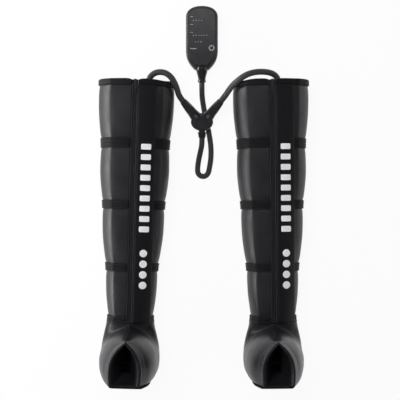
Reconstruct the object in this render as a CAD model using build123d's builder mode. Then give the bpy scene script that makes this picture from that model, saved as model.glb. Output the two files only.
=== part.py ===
from build123d import *

import os
from math import atan2, degrees, pi, radians, tan

# Leg compression set: a hand-sized air pump, its hose, a Y splitter, two leg hoses and two
# full-leg air sleeves. It lies flat: +X across, +Y from the feet to the pump, +Z up.
# The origin is on the floor under the middle of the set. Millimetres.

os.makedirs("parts", exist_ok=True)

# ---------------------------------------------------------------- driving sizes, leg sleeve
# A sleeve has its own frame: +Y up the leg from the sole, +Z out of the shin, z = 0 the floor.
sleeve_length = 937.0
rim_depth = 140.0  # back of the leg to the zip, at the rim
ankle_depth = 112.0
ankle_height = 177.0
leg_belly = 0.45  # height of the widest point, as a share of the depth
leg_base_share = 0.62  # flat underside, as a share of the width
wall = 14.0  # an air chamber's thickness
soft_gap = 0.3  # between soft pieces that lie against each other
band_thickness = 3.0
lining_thickness = 2.0
seam_gap = 0.6  # between two chambers, under a band
binding_length = 20.0
binding_stand = 2.0  # how far the rim binding stands out of the sleeve

# girths of the leg: height above the sole, full width
leg_widths = (
    (3.3, 158.0), (40.0, 190.0), (85.0, 189.0), (130.0, 172.0), (ankle_height, 150.0), (260.0, 161.0),
    (343.0, 170.0), (442.0, 193.0), (542.0, 202.0), (637.0, 220.0), (735.0, 221.0), (833.0, 238.0),
    (sleeve_length, 243.0),
)
heel_lift = (10.0, 1.5)  # rounding of the heel under the two lowest girths

# bands sewn between the chambers: middle, width
bands = ((ankle_height, 23.0), (343.5, 25.0), (541.5, 27.0), (735.5, 31.0))

# ---------------------------------------------------------------- driving sizes, foot
toe_height = 285.0  # floor to toe end
sole_thickness = 3.0
# cross-sections of the left toe box: height above the floor, flat sole, width, belly, instep, and how far
# it lies towards the other foot; the right foot is its mirror image
toe_sections = (
    (60.0, 124.0, 190.0, 50.0, 166.0, 2.0), (120.0, 132.0, 190.0, 52.0, 165.0, 7.0),
    (180.0, 134.0, 184.0, 52.0, 158.0, 10.0), (235.0, 124.0, 166.0, 50.0, 149.0, 10.0),
    (toe_height, 96.0, 122.0, 45.0, 138.0, 8.0),
)
toe_wall = 33.0  # from the foot's space to the toe end
sole_corner = 24.0
pocket_depth = 85.0  # the folded-in pocket at the toe end
pocket_mouth = (86.0, 132.0)  # width, height
pocket_end = (35.0, 62.0)
pocket_inward = 2.0
pocket_wall = 2.5
pocket_floor = 7.0

# ---------------------------------------------------------------- driving sizes, zip
zip_channel = 20.0  # clear width between the chambers
tape_thickness = 1.6
tape_sink = 3.6  # tape's upper face below the front of the sleeve
chain_width = 6.0
chain_height = 2.2
zip_low_end = 175.0
slider_length = 18.0
slider_width = 9.0
slider_plate = 1.4
slider_corner = 2.5
slider_gap = 0.25
slider_top_margin = 3.0
ear_thickness = 1.4
ear_space = 3.4
ear_radius = 2.0
pin_radius = 0.8
pin_gap = 0.08
pin_height = 2.6  # over the slider's plate
pull_length = 34.0
pull_width = 7.0
pull_thickness = 1.4
placket_near = 11.0  # placket's edges, from the zip's middle
placket_far = 66.0
placket_thickness = 3.0
placket_low_end = 172.0

# ---------------------------------------------------------------- driving sizes, air inlet
inlet_width = 34.0
inlet_length = 48.0
inlet_height = 20.0
inlet_corner = 6.0
inlet_setback = 43.0  # from the rim to the collar's face
inlet_drop = 36.0  # from the front of the rim to the inlet's axis
collar_radius = 11.0
collar_length = 12.0

# ---------------------------------------------------------------- placing of the two sleeves
# origin, lean of the top in degrees (positive towards -X), inlet's place across the front
sleeves = {
    "left": ((-239.7, -589.8), -1.66, 38.0),
    "right": ((224.0, -589.8), 0.67, 21.0),
}

# ---------------------------------------------------------------- driving sizes, pump unit
case_centre = (-5.9, 485.8)
case_half_width = 51.2
case_top = 104.0  # from the centre
case_shoulder = 67.6
case_taper = -41.0
case_nose = -98.0
case_nose_half = 22.0
feet_height = 3.0
case_height = 52.0
case_nose_height = 34.0
nose_slope_start = -46.0
case_wall = 2.4
case_edge = 9.0
parting_height = 27.0
panel_thickness = 1.2
panel_margin = 10.5
foot_radius = 6.0
foot_places = ((-32.0, 62.0), (32.0, 62.0), (-32.0, -52.0), (32.0, -52.0))
boss_places = ((-40.0, 56.0), (40.0, 56.0), (-40.0, -34.0), (40.0, -34.0))
boss_radius = 3.6
screw_radius = 1.25
screw_head_radius = 2.6
screw_head_height = 2.0
screw_clearance = 0.1
screw_bite = 12.0  # shank in the front shell's boss

button_place = (31.2, -32.4)
button_radius = 5.2
ring_radius = 9.2
key_places = {"time": (-32.0, 68.0), "zone": (-32.0, 42.6), "level": (-32.0, 17.3)}
key_size = (13.0, 9.0)
key_gap = 0.3
key_travel = 0.8
key_proud = 0.5
light_rows = ((-27.0, 55.7), (-27.0, 8.0), (-21.0, -12.8))  # first light of each row
light_counts = (4, 6, 3)
light_pitch = 8.6
light_radius = 1.5

board_thickness = 1.6
board_low = 41.0
board_size = (84.0, 128.0)
board_corner = 26.0
board_middle = (0.0, 14.0)
battery_size = (36.0, 72.0, 19.0)
battery_place = (-17.0, 29.0)
pump_size = (31.0, 42.0, 30.0)
pump_place = (20.5, 25.0)
motor_radius = 12.0
motor_length = 30.0
manifold_size = (66.0, 18.0, 14.0)
manifold_place = (0.0, -54.0)
valve_radius = 5.4
valve_height = 15.0
valve_pitch = 13.0
valve_count = 5
bay_floor_gap = 0.3
socket_size = (11.0, 13.0, 9.0)
socket_height = 17.0
socket_bore = 2.75
socket_pin = 1.0
socket_depth = 10.0

gland_root_radius = 19.0
gland_neck_radius = 11.5
gland_lip_radius = 13.0
gland_root_start = -82.0
gland_taper_start = -98.0
gland_lip_start = -132.0
gland_end = -139.0

# ---------------------------------------------------------------- driving sizes, splitter
hub_centre = (-5.6, 217.8)
hub_half = (36.0, 29.0)
hub_low = 22.0
hub_height = 25.0
hub_middle = 34.5
hub_wall = 2.4
arm_start = (14.0, 10.0, hub_middle)  # from the hub's centre, right arm
arm_end = (60.0, 64.0, 62.0)
arm_root = (20.0, 14.0)  # half width and half height where the arm leaves the hub
arm_radius = 16.0  # at its mouth
arm_socket = 27.0
arm_bore = 10.0
plug_radius = 15.6
plug_neck_radius = 11.5
plug_spigot_radius = 9.7
plug_spigot = 15.0
plug_gap = 0.3
latch_place = 15.0  # along the arm
latch_size = (9.0, 13.0)
latch_height = 4.5
latch_proud = 1.6
hub_gland_radius = 14.0
hub_gland_neck = 10.6

# ---------------------------------------------------------------- hose routes
main_hose_radius = 8.75
leg_hose_radius = 9.5
main_route = (
    (-5.9, 346.8, 27.0), (-5.9, 325.0, 27.0), (-5.2, 301.0, 18.0), (-1.0, 272.0, 9.2), (5.0, 241.0, 9.0),
    (12.0, 210.0, 9.0), (18.0, 179.0, 9.0), (22.5, 150.0, 9.0), (24.2, 124.0, 9.0), (23.0, 97.0, 9.0),
    (18.8, 71.5, 9.0), (15.3, 54.7, 9.0), (8.3, 45.7, 9.0), (-2.6, 42.6, 9.0), (-13.3, 46.5, 9.0),
    (-19.7, 55.9, 9.0), (-19.8, 73.0, 9.5), (-16.5, 97.0, 14.0), (-10.5, 123.0, 23.0),
    (-5.6, 146.0, 34.5), (-5.6, 166.8, 34.5),
)
left_leg_route = (
    (-175.8, 302.8, 104.0), (-175.2, 324.0, 104.0), (-173.5, 344.5, 106.0), (-163.0, 360.5, 110.0),
    (-144.0, 368.5, 115.0), (-121.5, 366.0, 119.0), (-104.0, 354.0, 117.0), (-92.0, 336.5, 108.0),
    (-84.0, 316.5, 90.0), (-78.9, 297.4, 70.0), (-65.6, 281.8, 62.0),
)
right_leg_route = (
    (234.55, 304.4, 104.0), (234.3, 325.5, 104.0), (234.2, 344.0, 105.0), (224.5, 359.5, 109.0),
    (206.5, 366.5, 116.0), (182.0, 368.0, 125.0), (156.0, 365.0, 133.0), (131.0, 356.5, 136.0),
    (108.5, 342.0, 126.0), (86.0, 323.5, 101.0), (68.9, 298.8, 70.7), (54.4, 281.8, 62.0),
)


# ---------------------------------------------------------------- helpers
def bag_outline(base, half, belly, top, low=0.0, point=0.0):
    """A bag's closed outline: flat base, sides swelling to the belly, round or pointed crown."""
    swell = 0.6
    with BuildLine() as outline:
        Line((-base, low), (base, low))
        for side in (1, -1):
            Bezier(
                (side * base, low), (side * (base + (half - base) * swell), low),
                (side * half, belly - (belly - low) * swell), (side * half, belly),
            )
            Bezier(
                (side * half, belly), (side * half, belly + (top - belly) * swell),
                (side * half * swell * (1 - 0.5 * point), top - (top - belly) * 0.2 * point), (0, top),
            )
    return outline.edges()


def leg_depth(height):
    """Depth of the leg at a height above the sole: a straight line from ankle to rim."""
    climb = (rim_depth - ankle_depth) / (sleeve_length - ankle_height)
    return ankle_depth + climb * (height - ankle_height)


def leg_form(inset):
    """The closed leg from sole to rim, shrunk all round by the inset."""
    lifts = list(heel_lift) + [0.0] * (len(leg_widths) - len(heel_lift))
    with BuildPart() as form:
        for (height, width), lift in zip(leg_widths, lifts):
            half = width / 2 - inset
            depth = leg_depth(height)
            with BuildSketch(Plane.XZ.offset(-height)):
                make_face(bag_outline(
                    half * leg_base_share, half, depth * leg_belly, depth - inset, lift + max(inset, 0)
                ))
        loft(ruled=True)
    return form.part


def toe_form(inset, end):
    """The toe box from the ankle to a height above the floor, shrunk by the inset."""
    with BuildPart() as form:
        for level, sole, width, belly, instep, inward in toe_sections:
            point = (level - toe_sections[0][0]) / (toe_height - toe_sections[0][0])
            with BuildSketch(Plane((inward, 0, level))):
                make_face(bag_outline(
                    sole / 2 - inset / 2, width / 2 - inset, belly, instep - inset,
                    sole_thickness + soft_gap + inset, point,
                ))
        loft()
        with BuildSketch(Plane.XY):
            Rectangle(2 * rim_depth, sleeve_length)
        extrude(amount=end, mode=Mode.INTERSECT)
    return form.part


def height_slab(low, high):
    """All the space between two heights above the sole."""
    with BuildPart() as slab:
        with BuildSketch(Plane.XZ.offset(-low)):
            Rectangle(4 * rim_depth, 4 * toe_height)
        extrude(amount=low - high)
    return slab.part


def save(part, name):
    part.label = name
    export_step(part, f"parts/{name}.step")


def corner_radii(points):
    """A fillet for each corner of a route, as large as its two runs allow."""
    radii = []
    for before, corner, after in zip(points, points[1:], points[2:]):
        run_in = Vector(corner) - Vector(before)
        run_out = Vector(after) - Vector(corner)
        half_turn = radians(run_in.get_angle(run_out)) / 2
        radii.append(0.45 * min(run_in.length, run_out.length) / tan(half_turn))
    return radii


def hose(route, radius, name):
    """A hose as a round bar along its route."""
    radii = corner_radii(route)
    with BuildPart() as tube:
        with BuildLine() as path:
            FilletPolyline(*route, radius=radii)
        with BuildSketch(Plane(origin=route[0], z_dir=Vector(route[1]) - Vector(route[0]))):
            Circle(radius)
        sweep(path=path.wires()[0])
    length = path.wires()[0].length
    share = tube.part.volume / (pi * radius**2 * length)
    print(name, "length", round(length), "volume share", round(share, 3), "radii", [round(r) for r in radii])
    save(tube.part, name)


# ================================================================ leg sleeve, in its own frame
leg_outside = leg_form(0)
leg_inside = leg_form(wall)
leg_groove = leg_form(band_thickness + soft_gap)
leg_stand = leg_form(-binding_stand)
lining_outside = leg_form(wall + soft_gap)
lining_inside = leg_form(wall + soft_gap + lining_thickness)
lining_clear = leg_form(wall + 2 * soft_gap + lining_thickness)

with BuildPart() as zip_opening:
    with BuildSketch(Plane.XZ.offset(-ankle_height + bands[0][1] / 2)):
        with Locations((0, rim_depth)):
            Rectangle(zip_channel, rim_depth)
    extrude(amount=-sleeve_length)

with BuildPart() as band_rings:
    for middle, width in bands:
        with BuildSketch(Plane.XZ.offset(-middle + width / 2)):
            Rectangle(4 * rim_depth, 4 * rim_depth)
        extrude(amount=-width)

with BuildPart() as grooves:
    add(leg_stand)
    add(leg_groove, mode=Mode.SUBTRACT)
    add(band_rings.part, mode=Mode.INTERSECT)

with BuildPart() as seam_bands:
    add(leg_outside)
    add(leg_form(band_thickness), mode=Mode.SUBTRACT)
    add(band_rings.part, mode=Mode.INTERSECT)
    add(zip_opening.part, mode=Mode.SUBTRACT)

chambers = {}
chamber_tops = [middle for middle, width in bands[1:]] + [sleeve_length - binding_length + seam_gap / 2]
for name, (low, band_width), high in zip(("shin", "calf", "knee", "thigh"), bands, chamber_tops):
    with BuildPart() as chamber:
        add(leg_outside)
        add(leg_inside, mode=Mode.SUBTRACT)
        add(height_slab(low + seam_gap / 2, high - seam_gap / 2), mode=Mode.INTERSECT)
        add(grooves.part, mode=Mode.SUBTRACT)
        add(zip_opening.part, mode=Mode.SUBTRACT)
    chambers[name] = chamber.part

with BuildPart() as pocket_outside:
    for level, (width, height) in (
        (toe_height - pocket_depth, pocket_end), (toe_height, pocket_mouth),
    ):
        with BuildSketch(Plane((pocket_inward, 0, level))):
            make_face(bag_outline(width / 2 * 0.9, width / 2, height * 0.35, height, pocket_floor, 1.0))
    loft(ruled=True)

with BuildPart() as pocket_inside:
    for level, (width, height) in (
        (toe_height - pocket_depth + pocket_wall, pocket_end), (toe_height, pocket_mouth),
    ):
        with BuildSketch(Plane((pocket_inward, 0, level))):
            make_face(bag_outline(
                width / 2 * 0.9 - pocket_wall, width / 2 - pocket_wall, height * 0.35,
                height - 2 * pocket_wall, pocket_floor + pocket_wall, 1.0,
            ))
    loft(ruled=True)

with BuildPart() as toe_gusset:
    add(pocket_outside.part)
    add(pocket_inside.part, mode=Mode.SUBTRACT)

with BuildPart() as foot_hollow:
    add(leg_inside)
    add(height_slab(sole_thickness + wall, ankle_height), mode=Mode.INTERSECT)
    add(toe_form(wall, toe_height - toe_wall))

with BuildPart() as pocket_seat:
    for level, (width, height) in (
        (toe_height - pocket_depth - soft_gap, pocket_end), (toe_height, pocket_mouth),
    ):
        with BuildSketch(Plane((pocket_inward, 0, level))):
            make_face(bag_outline(
                width / 2 * 0.9 + soft_gap, width / 2 + soft_gap, height * 0.35,
                height + 2 * soft_gap, pocket_floor - soft_gap, 1.0,
            ))
    loft(ruled=True)

with BuildPart() as foot_chamber:
    add(leg_outside)
    add(height_slab(sole_thickness + soft_gap, ankle_height - seam_gap / 2), mode=Mode.INTERSECT)
    add(toe_form(0, toe_height))
    add(foot_hollow.part, mode=Mode.SUBTRACT)
    add(pocket_seat.part, mode=Mode.SUBTRACT)
    add(grooves.part, mode=Mode.SUBTRACT)
    add(zip_opening.part, mode=Mode.SUBTRACT)

# the sole's outline, from the heel along one side and back along the other
sole_base = leg_widths[0][1] / 2 * leg_base_share
sole_stations = [(heel_lift[0], sole_base, 0)]
sole_stations += [(toe_sections[k][0], toe_sections[k][1] / 2, toe_sections[k][5]) for k in (1, 3, 4)]
with BuildPart() as sole_panel:
    with BuildSketch(Plane.XZ):
        with BuildLine():
            Polyline(
                *[(inward + half, level) for level, half, inward in sole_stations],
                *[(inward - half, level) for level, half, inward in reversed(sole_stations)],
                close=True,
            )
        make_face()
    extrude(amount=-sole_thickness)
    fillet(sole_panel.edges().filter_by(Axis.Y).sort_by(Axis.Z)[:2], sole_corner)

with BuildPart() as rim_binding:
    add(leg_stand)
    add(leg_form(wall + 2 * soft_gap + lining_thickness + 1), mode=Mode.SUBTRACT)
    add(height_slab(sleeve_length - binding_length, sleeve_length), mode=Mode.INTERSECT)
    add(zip_opening.part, mode=Mode.SUBTRACT)

with BuildPart() as leg_liner:
    add(lining_outside)
    add(lining_inside, mode=Mode.SUBTRACT)
    add(height_slab(ankle_height + seam_gap, sleeve_length - binding_length - soft_gap), mode=Mode.INTERSECT)
    add(zip_opening.part, mode=Mode.SUBTRACT)

with BuildPart() as zip_placket:
    add(leg_form(-soft_gap - placket_thickness))
    add(leg_form(-soft_gap), mode=Mode.SUBTRACT)
    add(height_slab(placket_low_end, sleeve_length - binding_length - soft_gap), mode=Mode.INTERSECT)
    with BuildSketch(Plane.XZ.offset(-placket_low_end)):
        with Locations(((placket_near + placket_far) / 2, rim_depth)):
            Rectangle(placket_far - placket_near, 1.6 * rim_depth)
    extrude(amount=-sleeve_length, mode=Mode.INTERSECT)

# the zip lies in a plane that climbs with the front of the leg: local x across, local y up the zip
zip_climb = degrees(atan2(rim_depth - ankle_depth, sleeve_length - ankle_height))
zip_plane = Plane(
    origin=(0, sleeve_length, rim_depth - tape_sink), x_dir=(1, 0, 0),
    z_dir=Vector(0, 0, 1).rotate(Axis.X, zip_climb),
)
zip_length = sleeve_length - zip_low_end

with BuildPart() as zip_tape:
    with BuildSketch(zip_plane):
        with Locations((0, -zip_length / 2)):
            Rectangle(zip_channel - 2 * soft_gap, zip_length)
    extrude(amount=-tape_thickness)
    with BuildSketch(zip_plane):
        with Locations((0, -zip_length / 2)):
            Rectangle(chain_width, zip_length)
    extrude(amount=chain_height)

slider_middle = -slider_top_margin - slider_length / 2
plate_low = chain_height + slider_gap
plate_top = plate_low + slider_plate
ear_middle = slider_middle + slider_length / 5
pin_level = plate_top + pin_height

with BuildPart() as zip_slider:
    with BuildSketch(zip_plane.offset(slider_gap)):
        with Locations((0, slider_middle)):
            RectangleRounded(slider_width, slider_length, slider_corner)
    extrude(amount=plate_top - slider_gap)
    with BuildSketch(zip_plane.offset(slider_gap)):
        with Locations((0, slider_middle)):
            Rectangle(chain_width + 2 * slider_gap, 2 * slider_length)
    extrude(amount=plate_low - slider_gap, mode=Mode.SUBTRACT)
    for side in (-1, 1):
        ear_face = Plane(
            origin=zip_plane.from_local_coords((side * ear_space / 2, ear_middle, plate_top)),
            x_dir=zip_plane.y_dir, z_dir=(1, 0, 0),
        )
        with BuildSketch(ear_face):
            with Locations((0, pin_height / 2)):
                Rectangle(2 * ear_radius, pin_height)
            with Locations((0, pin_height)):
                Circle(ear_radius)
        extrude(amount=side * ear_thickness)
    pin_face = Plane(
        origin=zip_plane.from_local_coords((-ear_space / 2, ear_middle, pin_level)),
        x_dir=zip_plane.y_dir, z_dir=(1, 0, 0),
    )
    with BuildSketch(pin_face):
        Circle(pin_radius)
    extrude(amount=ear_space)

eye_gap = 0.15
with BuildPart() as zip_pull:
    eye_face = Plane(
        origin=zip_plane.from_local_coords((-ear_space / 2 + eye_gap, ear_middle, pin_level)),
        x_dir=zip_plane.y_dir, z_dir=(1, 0, 0),
    )
    with BuildSketch(eye_face):
        Circle(ear_radius)
        with Locations((-2 * ear_radius, 0)):
            Rectangle(4 * ear_radius, pull_thickness)
        Circle(pin_radius + pin_gap, mode=Mode.SUBTRACT)
    extrude(amount=ear_space - 2 * eye_gap)
    with BuildSketch(zip_plane.offset(pin_level - pull_thickness / 2)):
        with Locations((0, ear_middle - 3.5 * ear_radius - pull_length / 2)):
            SlotOverall(pull_length, pull_width, rotation=90)
            with Locations((0, -pull_length / 4)):
                SlotOverall(pull_length / 3, pull_width / 2.4, rotation=90, mode=Mode.SUBTRACT)
    extrude(amount=pull_thickness)

shared_pieces = {
    "thigh_chamber": chambers["thigh"], "knee_chamber": chambers["knee"],
    "calf_chamber": chambers["calf"], "shin_chamber": chambers["shin"],
    "foot_chamber": foot_chamber.part, "seam_bands": seam_bands.part,
    "rim_binding": rim_binding.part, "zip_placket": zip_placket.part,
    "zip_tape": zip_tape.part, "zip_slider": zip_slider.part, "zip_pull": zip_pull.part,
    "toe_gusset": toe_gusset.part, "sole_panel": sole_panel.part, "leg_liner": leg_liner.part,
}

foot_pieces = ("foot_chamber", "toe_gusset", "sole_panel")
inlet_front = sleeve_length - inlet_setback
inlet_axis_height = rim_depth - inlet_drop

for side, ((place_x, place_y), lean, inlet_x) in sleeves.items():
    sleeve_location = Location((place_x, place_y, 0), (0, 0, lean))
    with BuildPart() as air_inlet:
        with BuildSketch(Plane.XZ.offset(collar_length - inlet_front)):
            with Locations((inlet_x, inlet_axis_height + inlet_height / 4)):
                RectangleRounded(inlet_width, 1.5 * inlet_height, inlet_corner)
        extrude(amount=inlet_length - collar_length)
        add(lining_clear, mode=Mode.INTERSECT)
        with BuildSketch(Plane.XZ.offset(collar_length - inlet_front)):
            with Locations((inlet_x, inlet_axis_height)):
                Circle(collar_radius)
        extrude(amount=-collar_length)
    for name, piece in {**shared_pieces, "air_inlet": air_inlet.part}.items():
        if side == "right" and name in foot_pieces:
            piece = mirror(piece, about=Plane.YZ, mode=Mode.PRIVATE)
        with BuildPart() as placed:
            with Locations(sleeve_location):
                add(piece)
        save(placed.part, f"{side}_{name}")

# ================================================================ pump unit
case_plane = Plane((case_centre[0], case_centre[1], 0))
case_roof = feet_height + case_height


def case_outline(inset):
    """The case seen from above: domed top, straight sides, tapering lower end."""
    half = case_half_width - inset
    top = case_top - inset
    nose = case_nose + inset
    nose_half = case_nose_half - inset / 2
    with BuildLine() as outline:
        for side in (1, -1):
            Line((side * half, case_taper), (side * half, case_shoulder))
            Bezier(
                (side * half, case_shoulder), (side * half, case_shoulder + 0.62 * (top - case_shoulder)),
                (side * half * 0.62, top), (0, top),
            )
            Bezier(
                (side * half, case_taper), (side * half, 0.6 * case_taper + 0.4 * nose),
                (side * (nose_half + 0.6 * (half - nose_half)), 0.28 * case_taper + 0.72 * nose),
                (side * nose_half, nose),
            )
        Line((nose_half, nose), (-nose_half, nose))
    return outline.edges()


def case_form(inset, edge):
    """The closed case, shrunk by the inset, with its rounded edges."""
    low, high = feet_height + inset, case_roof - inset
    nose_high = feet_height + case_nose_height - inset
    with BuildPart() as form:
        with BuildSketch(case_plane.offset(low)):
            make_face(case_outline(inset))
        extrude(amount=high - low)
        with BuildSketch(Plane.YZ.offset(case_centre[0])):
            with BuildLine():
                top_y = case_centre[1] + case_top + 1
                nose_y = case_centre[1] + case_nose - 1
                slope_y = case_centre[1] + nose_slope_start
                Polyline((nose_y, nose_high), (nose_y, low), (top_y, low), (top_y, high), (slope_y, high))
                Bezier((slope_y, high), ((slope_y + nose_y) / 2, high), (nose_y, nose_high))
            make_face()
        extrude(amount=case_half_width + 1, both=True, mode=Mode.INTERSECT)
        fillet(form.edges().group_by(Axis.Z)[0], edge * 0.8)
        fillet(form.faces().filter_by(Axis.Z).sort_by(Axis.Z)[-1].edges(), edge)
    return form.part


case_outside = case_form(0, case_edge)
case_inside = case_form(case_wall, case_edge - case_wall)
gland_axis = Plane(
    origin=(case_centre[0], case_centre[1], parting_height), x_dir=(1, 0, 0), z_dir=(0, -1, 0)
)
panel_top = case_roof
panel_low = case_roof - panel_thickness


# the seat of the gland at the case's lower end
with BuildPart() as gland_notch:
    with BuildSketch(gland_axis.offset(-gland_root_start - soft_gap)):
        Circle(gland_root_radius + 0.1)
    extrude(amount=-case_nose)

# the charge socket's way through the upper end
with BuildPart() as socket_seat:
    with BuildSketch(Plane.XZ.offset(-case_centre[1] - case_top + socket_size[1])):
        with Locations((case_centre[0], socket_height)):
            Rectangle(socket_size[0] + 0.2, socket_size[2] + 0.2)
    extrude(amount=-2 * socket_size[1])

with BuildPart() as back_shell:
    add(case_outside)
    add(case_inside, mode=Mode.SUBTRACT)
    with BuildSketch(case_plane.offset(feet_height + case_wall / 2)):
        with Locations(*boss_places):
            Circle(boss_radius)
    extrude(amount=parting_height - feet_height - case_wall / 2)
    split(bisect_by=Plane.XY.offset(parting_height), keep=Keep.BOTTOM)
    with BuildSketch(case_plane):
        with Locations(*boss_places):
            Circle(screw_radius + screw_clearance)
    extrude(amount=parting_height, mode=Mode.SUBTRACT)
    with BuildSketch(case_plane):
        with Locations(*boss_places):
            Circle(screw_head_radius + screw_clearance)
    extrude(amount=feet_height + 2 * screw_head_height, mode=Mode.SUBTRACT)
    add(gland_notch.part, mode=Mode.SUBTRACT)
    add(socket_seat.part, mode=Mode.SUBTRACT)

with BuildPart() as front_shell:
    add(case_outside)
    add(case_inside, mode=Mode.SUBTRACT)
    with BuildSketch(case_plane.offset(parting_height)):
        with Locations(*boss_places):
            Circle(boss_radius)
    extrude(amount=case_roof - parting_height - case_wall / 2)
    split(bisect_by=Plane.XY.offset(parting_height), keep=Keep.TOP)
    with BuildSketch(case_plane.offset(parting_height)):
        with Locations(*boss_places):
            Circle(screw_radius + screw_clearance)
    extrude(amount=screw_bite + 1, mode=Mode.SUBTRACT)
    with BuildSketch(case_plane.offset(panel_low)):
        make_face(case_outline(panel_margin))
    extrude(amount=panel_thickness + 1, mode=Mode.SUBTRACT)
    with BuildSketch(case_plane.offset(board_low)):
        with Locations(button_place):
            Circle(button_radius + key_gap)
        with Locations(*key_places.values()):
            SlotOverall(key_size[0] + 2 * key_gap, key_size[1] + 2 * key_gap)
    extrude(amount=case_height, mode=Mode.SUBTRACT)
    add(gland_notch.part, mode=Mode.SUBTRACT)

with BuildPart() as face_panel:
    with BuildSketch(case_plane.offset(panel_low)):
        make_face(case_outline(panel_margin + 0.1))
        with Locations(button_place):
            Circle(ring_radius + 0.1, mode=Mode.SUBTRACT)
        with Locations(*key_places.values()):
            SlotOverall(key_size[0] + 2 * key_gap, key_size[1] + 2 * key_gap, mode=Mode.SUBTRACT)
        for (start, row), count in zip(light_rows, light_counts):
            for light in range(count):
                with Locations((start + light * light_pitch, row)):
                    Circle(light_radius, mode=Mode.SUBTRACT)
    extrude(amount=panel_thickness)

with BuildPart() as indicator_windows:
    with BuildSketch(case_plane.offset(panel_low)):
        for (start, row), count in zip(light_rows, light_counts):
            for light in range(count):
                with Locations((start + light * light_pitch, row)):
                    Circle(light_radius)
    extrude(amount=panel_thickness)

with BuildPart() as button_ring:
    with BuildSketch(case_plane.offset(panel_low)):
        with Locations(button_place):
            Circle(ring_radius)
            Circle(button_radius + key_gap, mode=Mode.SUBTRACT)
    extrude(amount=panel_thickness + 0.6)
    fillet(button_ring.faces().sort_by(Axis.Z)[-1].edges(), 0.4)

board_top = board_low + board_thickness
stem_low = board_top + key_travel + 0.3

with BuildPart() as start_button:
    with BuildSketch(case_plane.offset(stem_low)):
        with Locations(button_place):
            Circle(button_radius)
    extrude(amount=panel_top + key_proud - stem_low)
    chamfer(start_button.faces().sort_by(Axis.Z)[-1].edges(), 0.4)

for name, place in key_places.items():
    with BuildPart() as key:
        with BuildSketch(case_plane.offset(stem_low)):
            with Locations(place):
                SlotOverall(*key_size)
        extrude(amount=panel_top + key_proud - stem_low)
        chamfer(key.faces().sort_by(Axis.Z)[-1].edges(), 0.4)
    save(key.part, f"{name}_key")

with BuildPart() as main_board:
    with BuildSketch(case_plane.offset(board_low)):
        with Locations(board_middle):
            RectangleRounded(*board_size, board_corner)
        with Locations(*boss_places):
            Circle(boss_radius + 0.1, mode=Mode.SUBTRACT)
    extrude(amount=board_thickness)

bay_floor = feet_height + case_wall + bay_floor_gap

with BuildPart() as battery_pack:
    with BuildSketch(case_plane.offset(bay_floor)):
        with Locations(battery_place):
            RectangleRounded(battery_size[0], battery_size[1], 3)
    extrude(amount=battery_size[2])
    fillet(battery_pack.edges().filter_by(Axis.Y), 8)

with BuildPart() as pump_body:
    with BuildSketch(case_plane.offset(bay_floor)):
        with Locations(pump_place):
            RectangleRounded(pump_size[0], pump_size[1], 4)
    extrude(amount=pump_size[2])

motor_start = case_centre[1] + pump_place[1] + pump_size[1] / 2
motor_axis = (case_centre[0] + pump_place[0], bay_floor + motor_radius + 1)
with BuildPart() as pump_motor:
    with BuildSketch(Plane.XZ.offset(-motor_start)):
        with Locations(motor_axis):
            Circle(motor_radius)
    extrude(amount=-motor_length)
    chamfer(pump_motor.faces().sort_by(Axis.Y)[-1].edges(), 1)
    with BuildSketch(Plane.XZ.offset(-motor_start - motor_length)):
        with Locations(motor_axis):
            Circle(motor_radius / 3)
    extrude(amount=-2)

manifold_top = bay_floor + manifold_size[2]
with BuildPart() as valve_manifold:
    with BuildSketch(case_plane.offset(bay_floor)):
        with Locations(manifold_place):
            RectangleRounded(manifold_size[0], manifold_size[1], 2)
    extrude(amount=manifold_size[2])

with BuildPart() as solenoid_valves:
    with BuildSketch(case_plane.offset(manifold_top)):
        with Locations(manifold_place):
            with GridLocations(valve_pitch, 1, valve_count, 1):
                Circle(valve_radius)
    extrude(amount=valve_height)

socket_face = case_centre[1] + case_top - 1
with BuildPart() as charge_socket:
    with BuildSketch(Plane.XZ.offset(-socket_face)):
        with Locations((case_centre[0], socket_height)):
            Rectangle(socket_size[0], socket_size[2])
            Circle(socket_bore, mode=Mode.SUBTRACT)
            Circle(socket_pin)
    extrude(amount=socket_depth)
    with BuildSketch(Plane.XZ.offset(-socket_face + socket_depth)):
        with Locations((case_centre[0], socket_height)):
            Rectangle(socket_size[0], socket_size[2])
    extrude(amount=2)

with BuildPart() as case_screws:
    head_low = feet_height + screw_head_height
    with BuildSketch(case_plane.offset(head_low)):
        with Locations(*boss_places):
            Circle(screw_head_radius)
    extrude(amount=screw_head_height)
    with BuildSketch(case_plane.offset(head_low + screw_head_height)):
        with Locations(*boss_places):
            Circle(screw_radius)
    extrude(amount=parting_height + screw_bite - head_low - screw_head_height)
    with BuildSketch(case_plane.offset(head_low)):
        with Locations(*boss_places):
            RegularPolygon(1.3, 6)
    extrude(amount=1.2, mode=Mode.SUBTRACT)

with BuildPart() as rubber_feet:
    with BuildSketch(case_plane):
        with Locations(*foot_places):
            Circle(foot_radius)
    extrude(amount=feet_height)
    fillet(rubber_feet.faces().filter_by(Axis.Z).group_by(Axis.Z)[0].edges(), 0.8)

with BuildPart() as pump_gland:
    with BuildSketch(Plane(origin=gland_axis.origin, x_dir=(0, 1, 0), z_dir=(1, 0, 0))):
        with BuildLine():
            Polyline(
                (gland_taper_start, gland_root_radius), (gland_root_start, gland_root_radius),
                (gland_root_start, 0), (gland_end, 0), (gland_end, gland_lip_radius),
                (gland_lip_start, gland_lip_radius), (gland_lip_start, gland_neck_radius),
            )
            Bezier(
                (gland_lip_start, gland_neck_radius), (0.5 * (gland_lip_start + gland_taper_start), 13.5),
                (gland_taper_start - 6, gland_root_radius), (gland_taper_start, gland_root_radius),
            )
        make_face()
    revolve(axis=Axis(gland_axis.origin, (0, 1, 0)))

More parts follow.
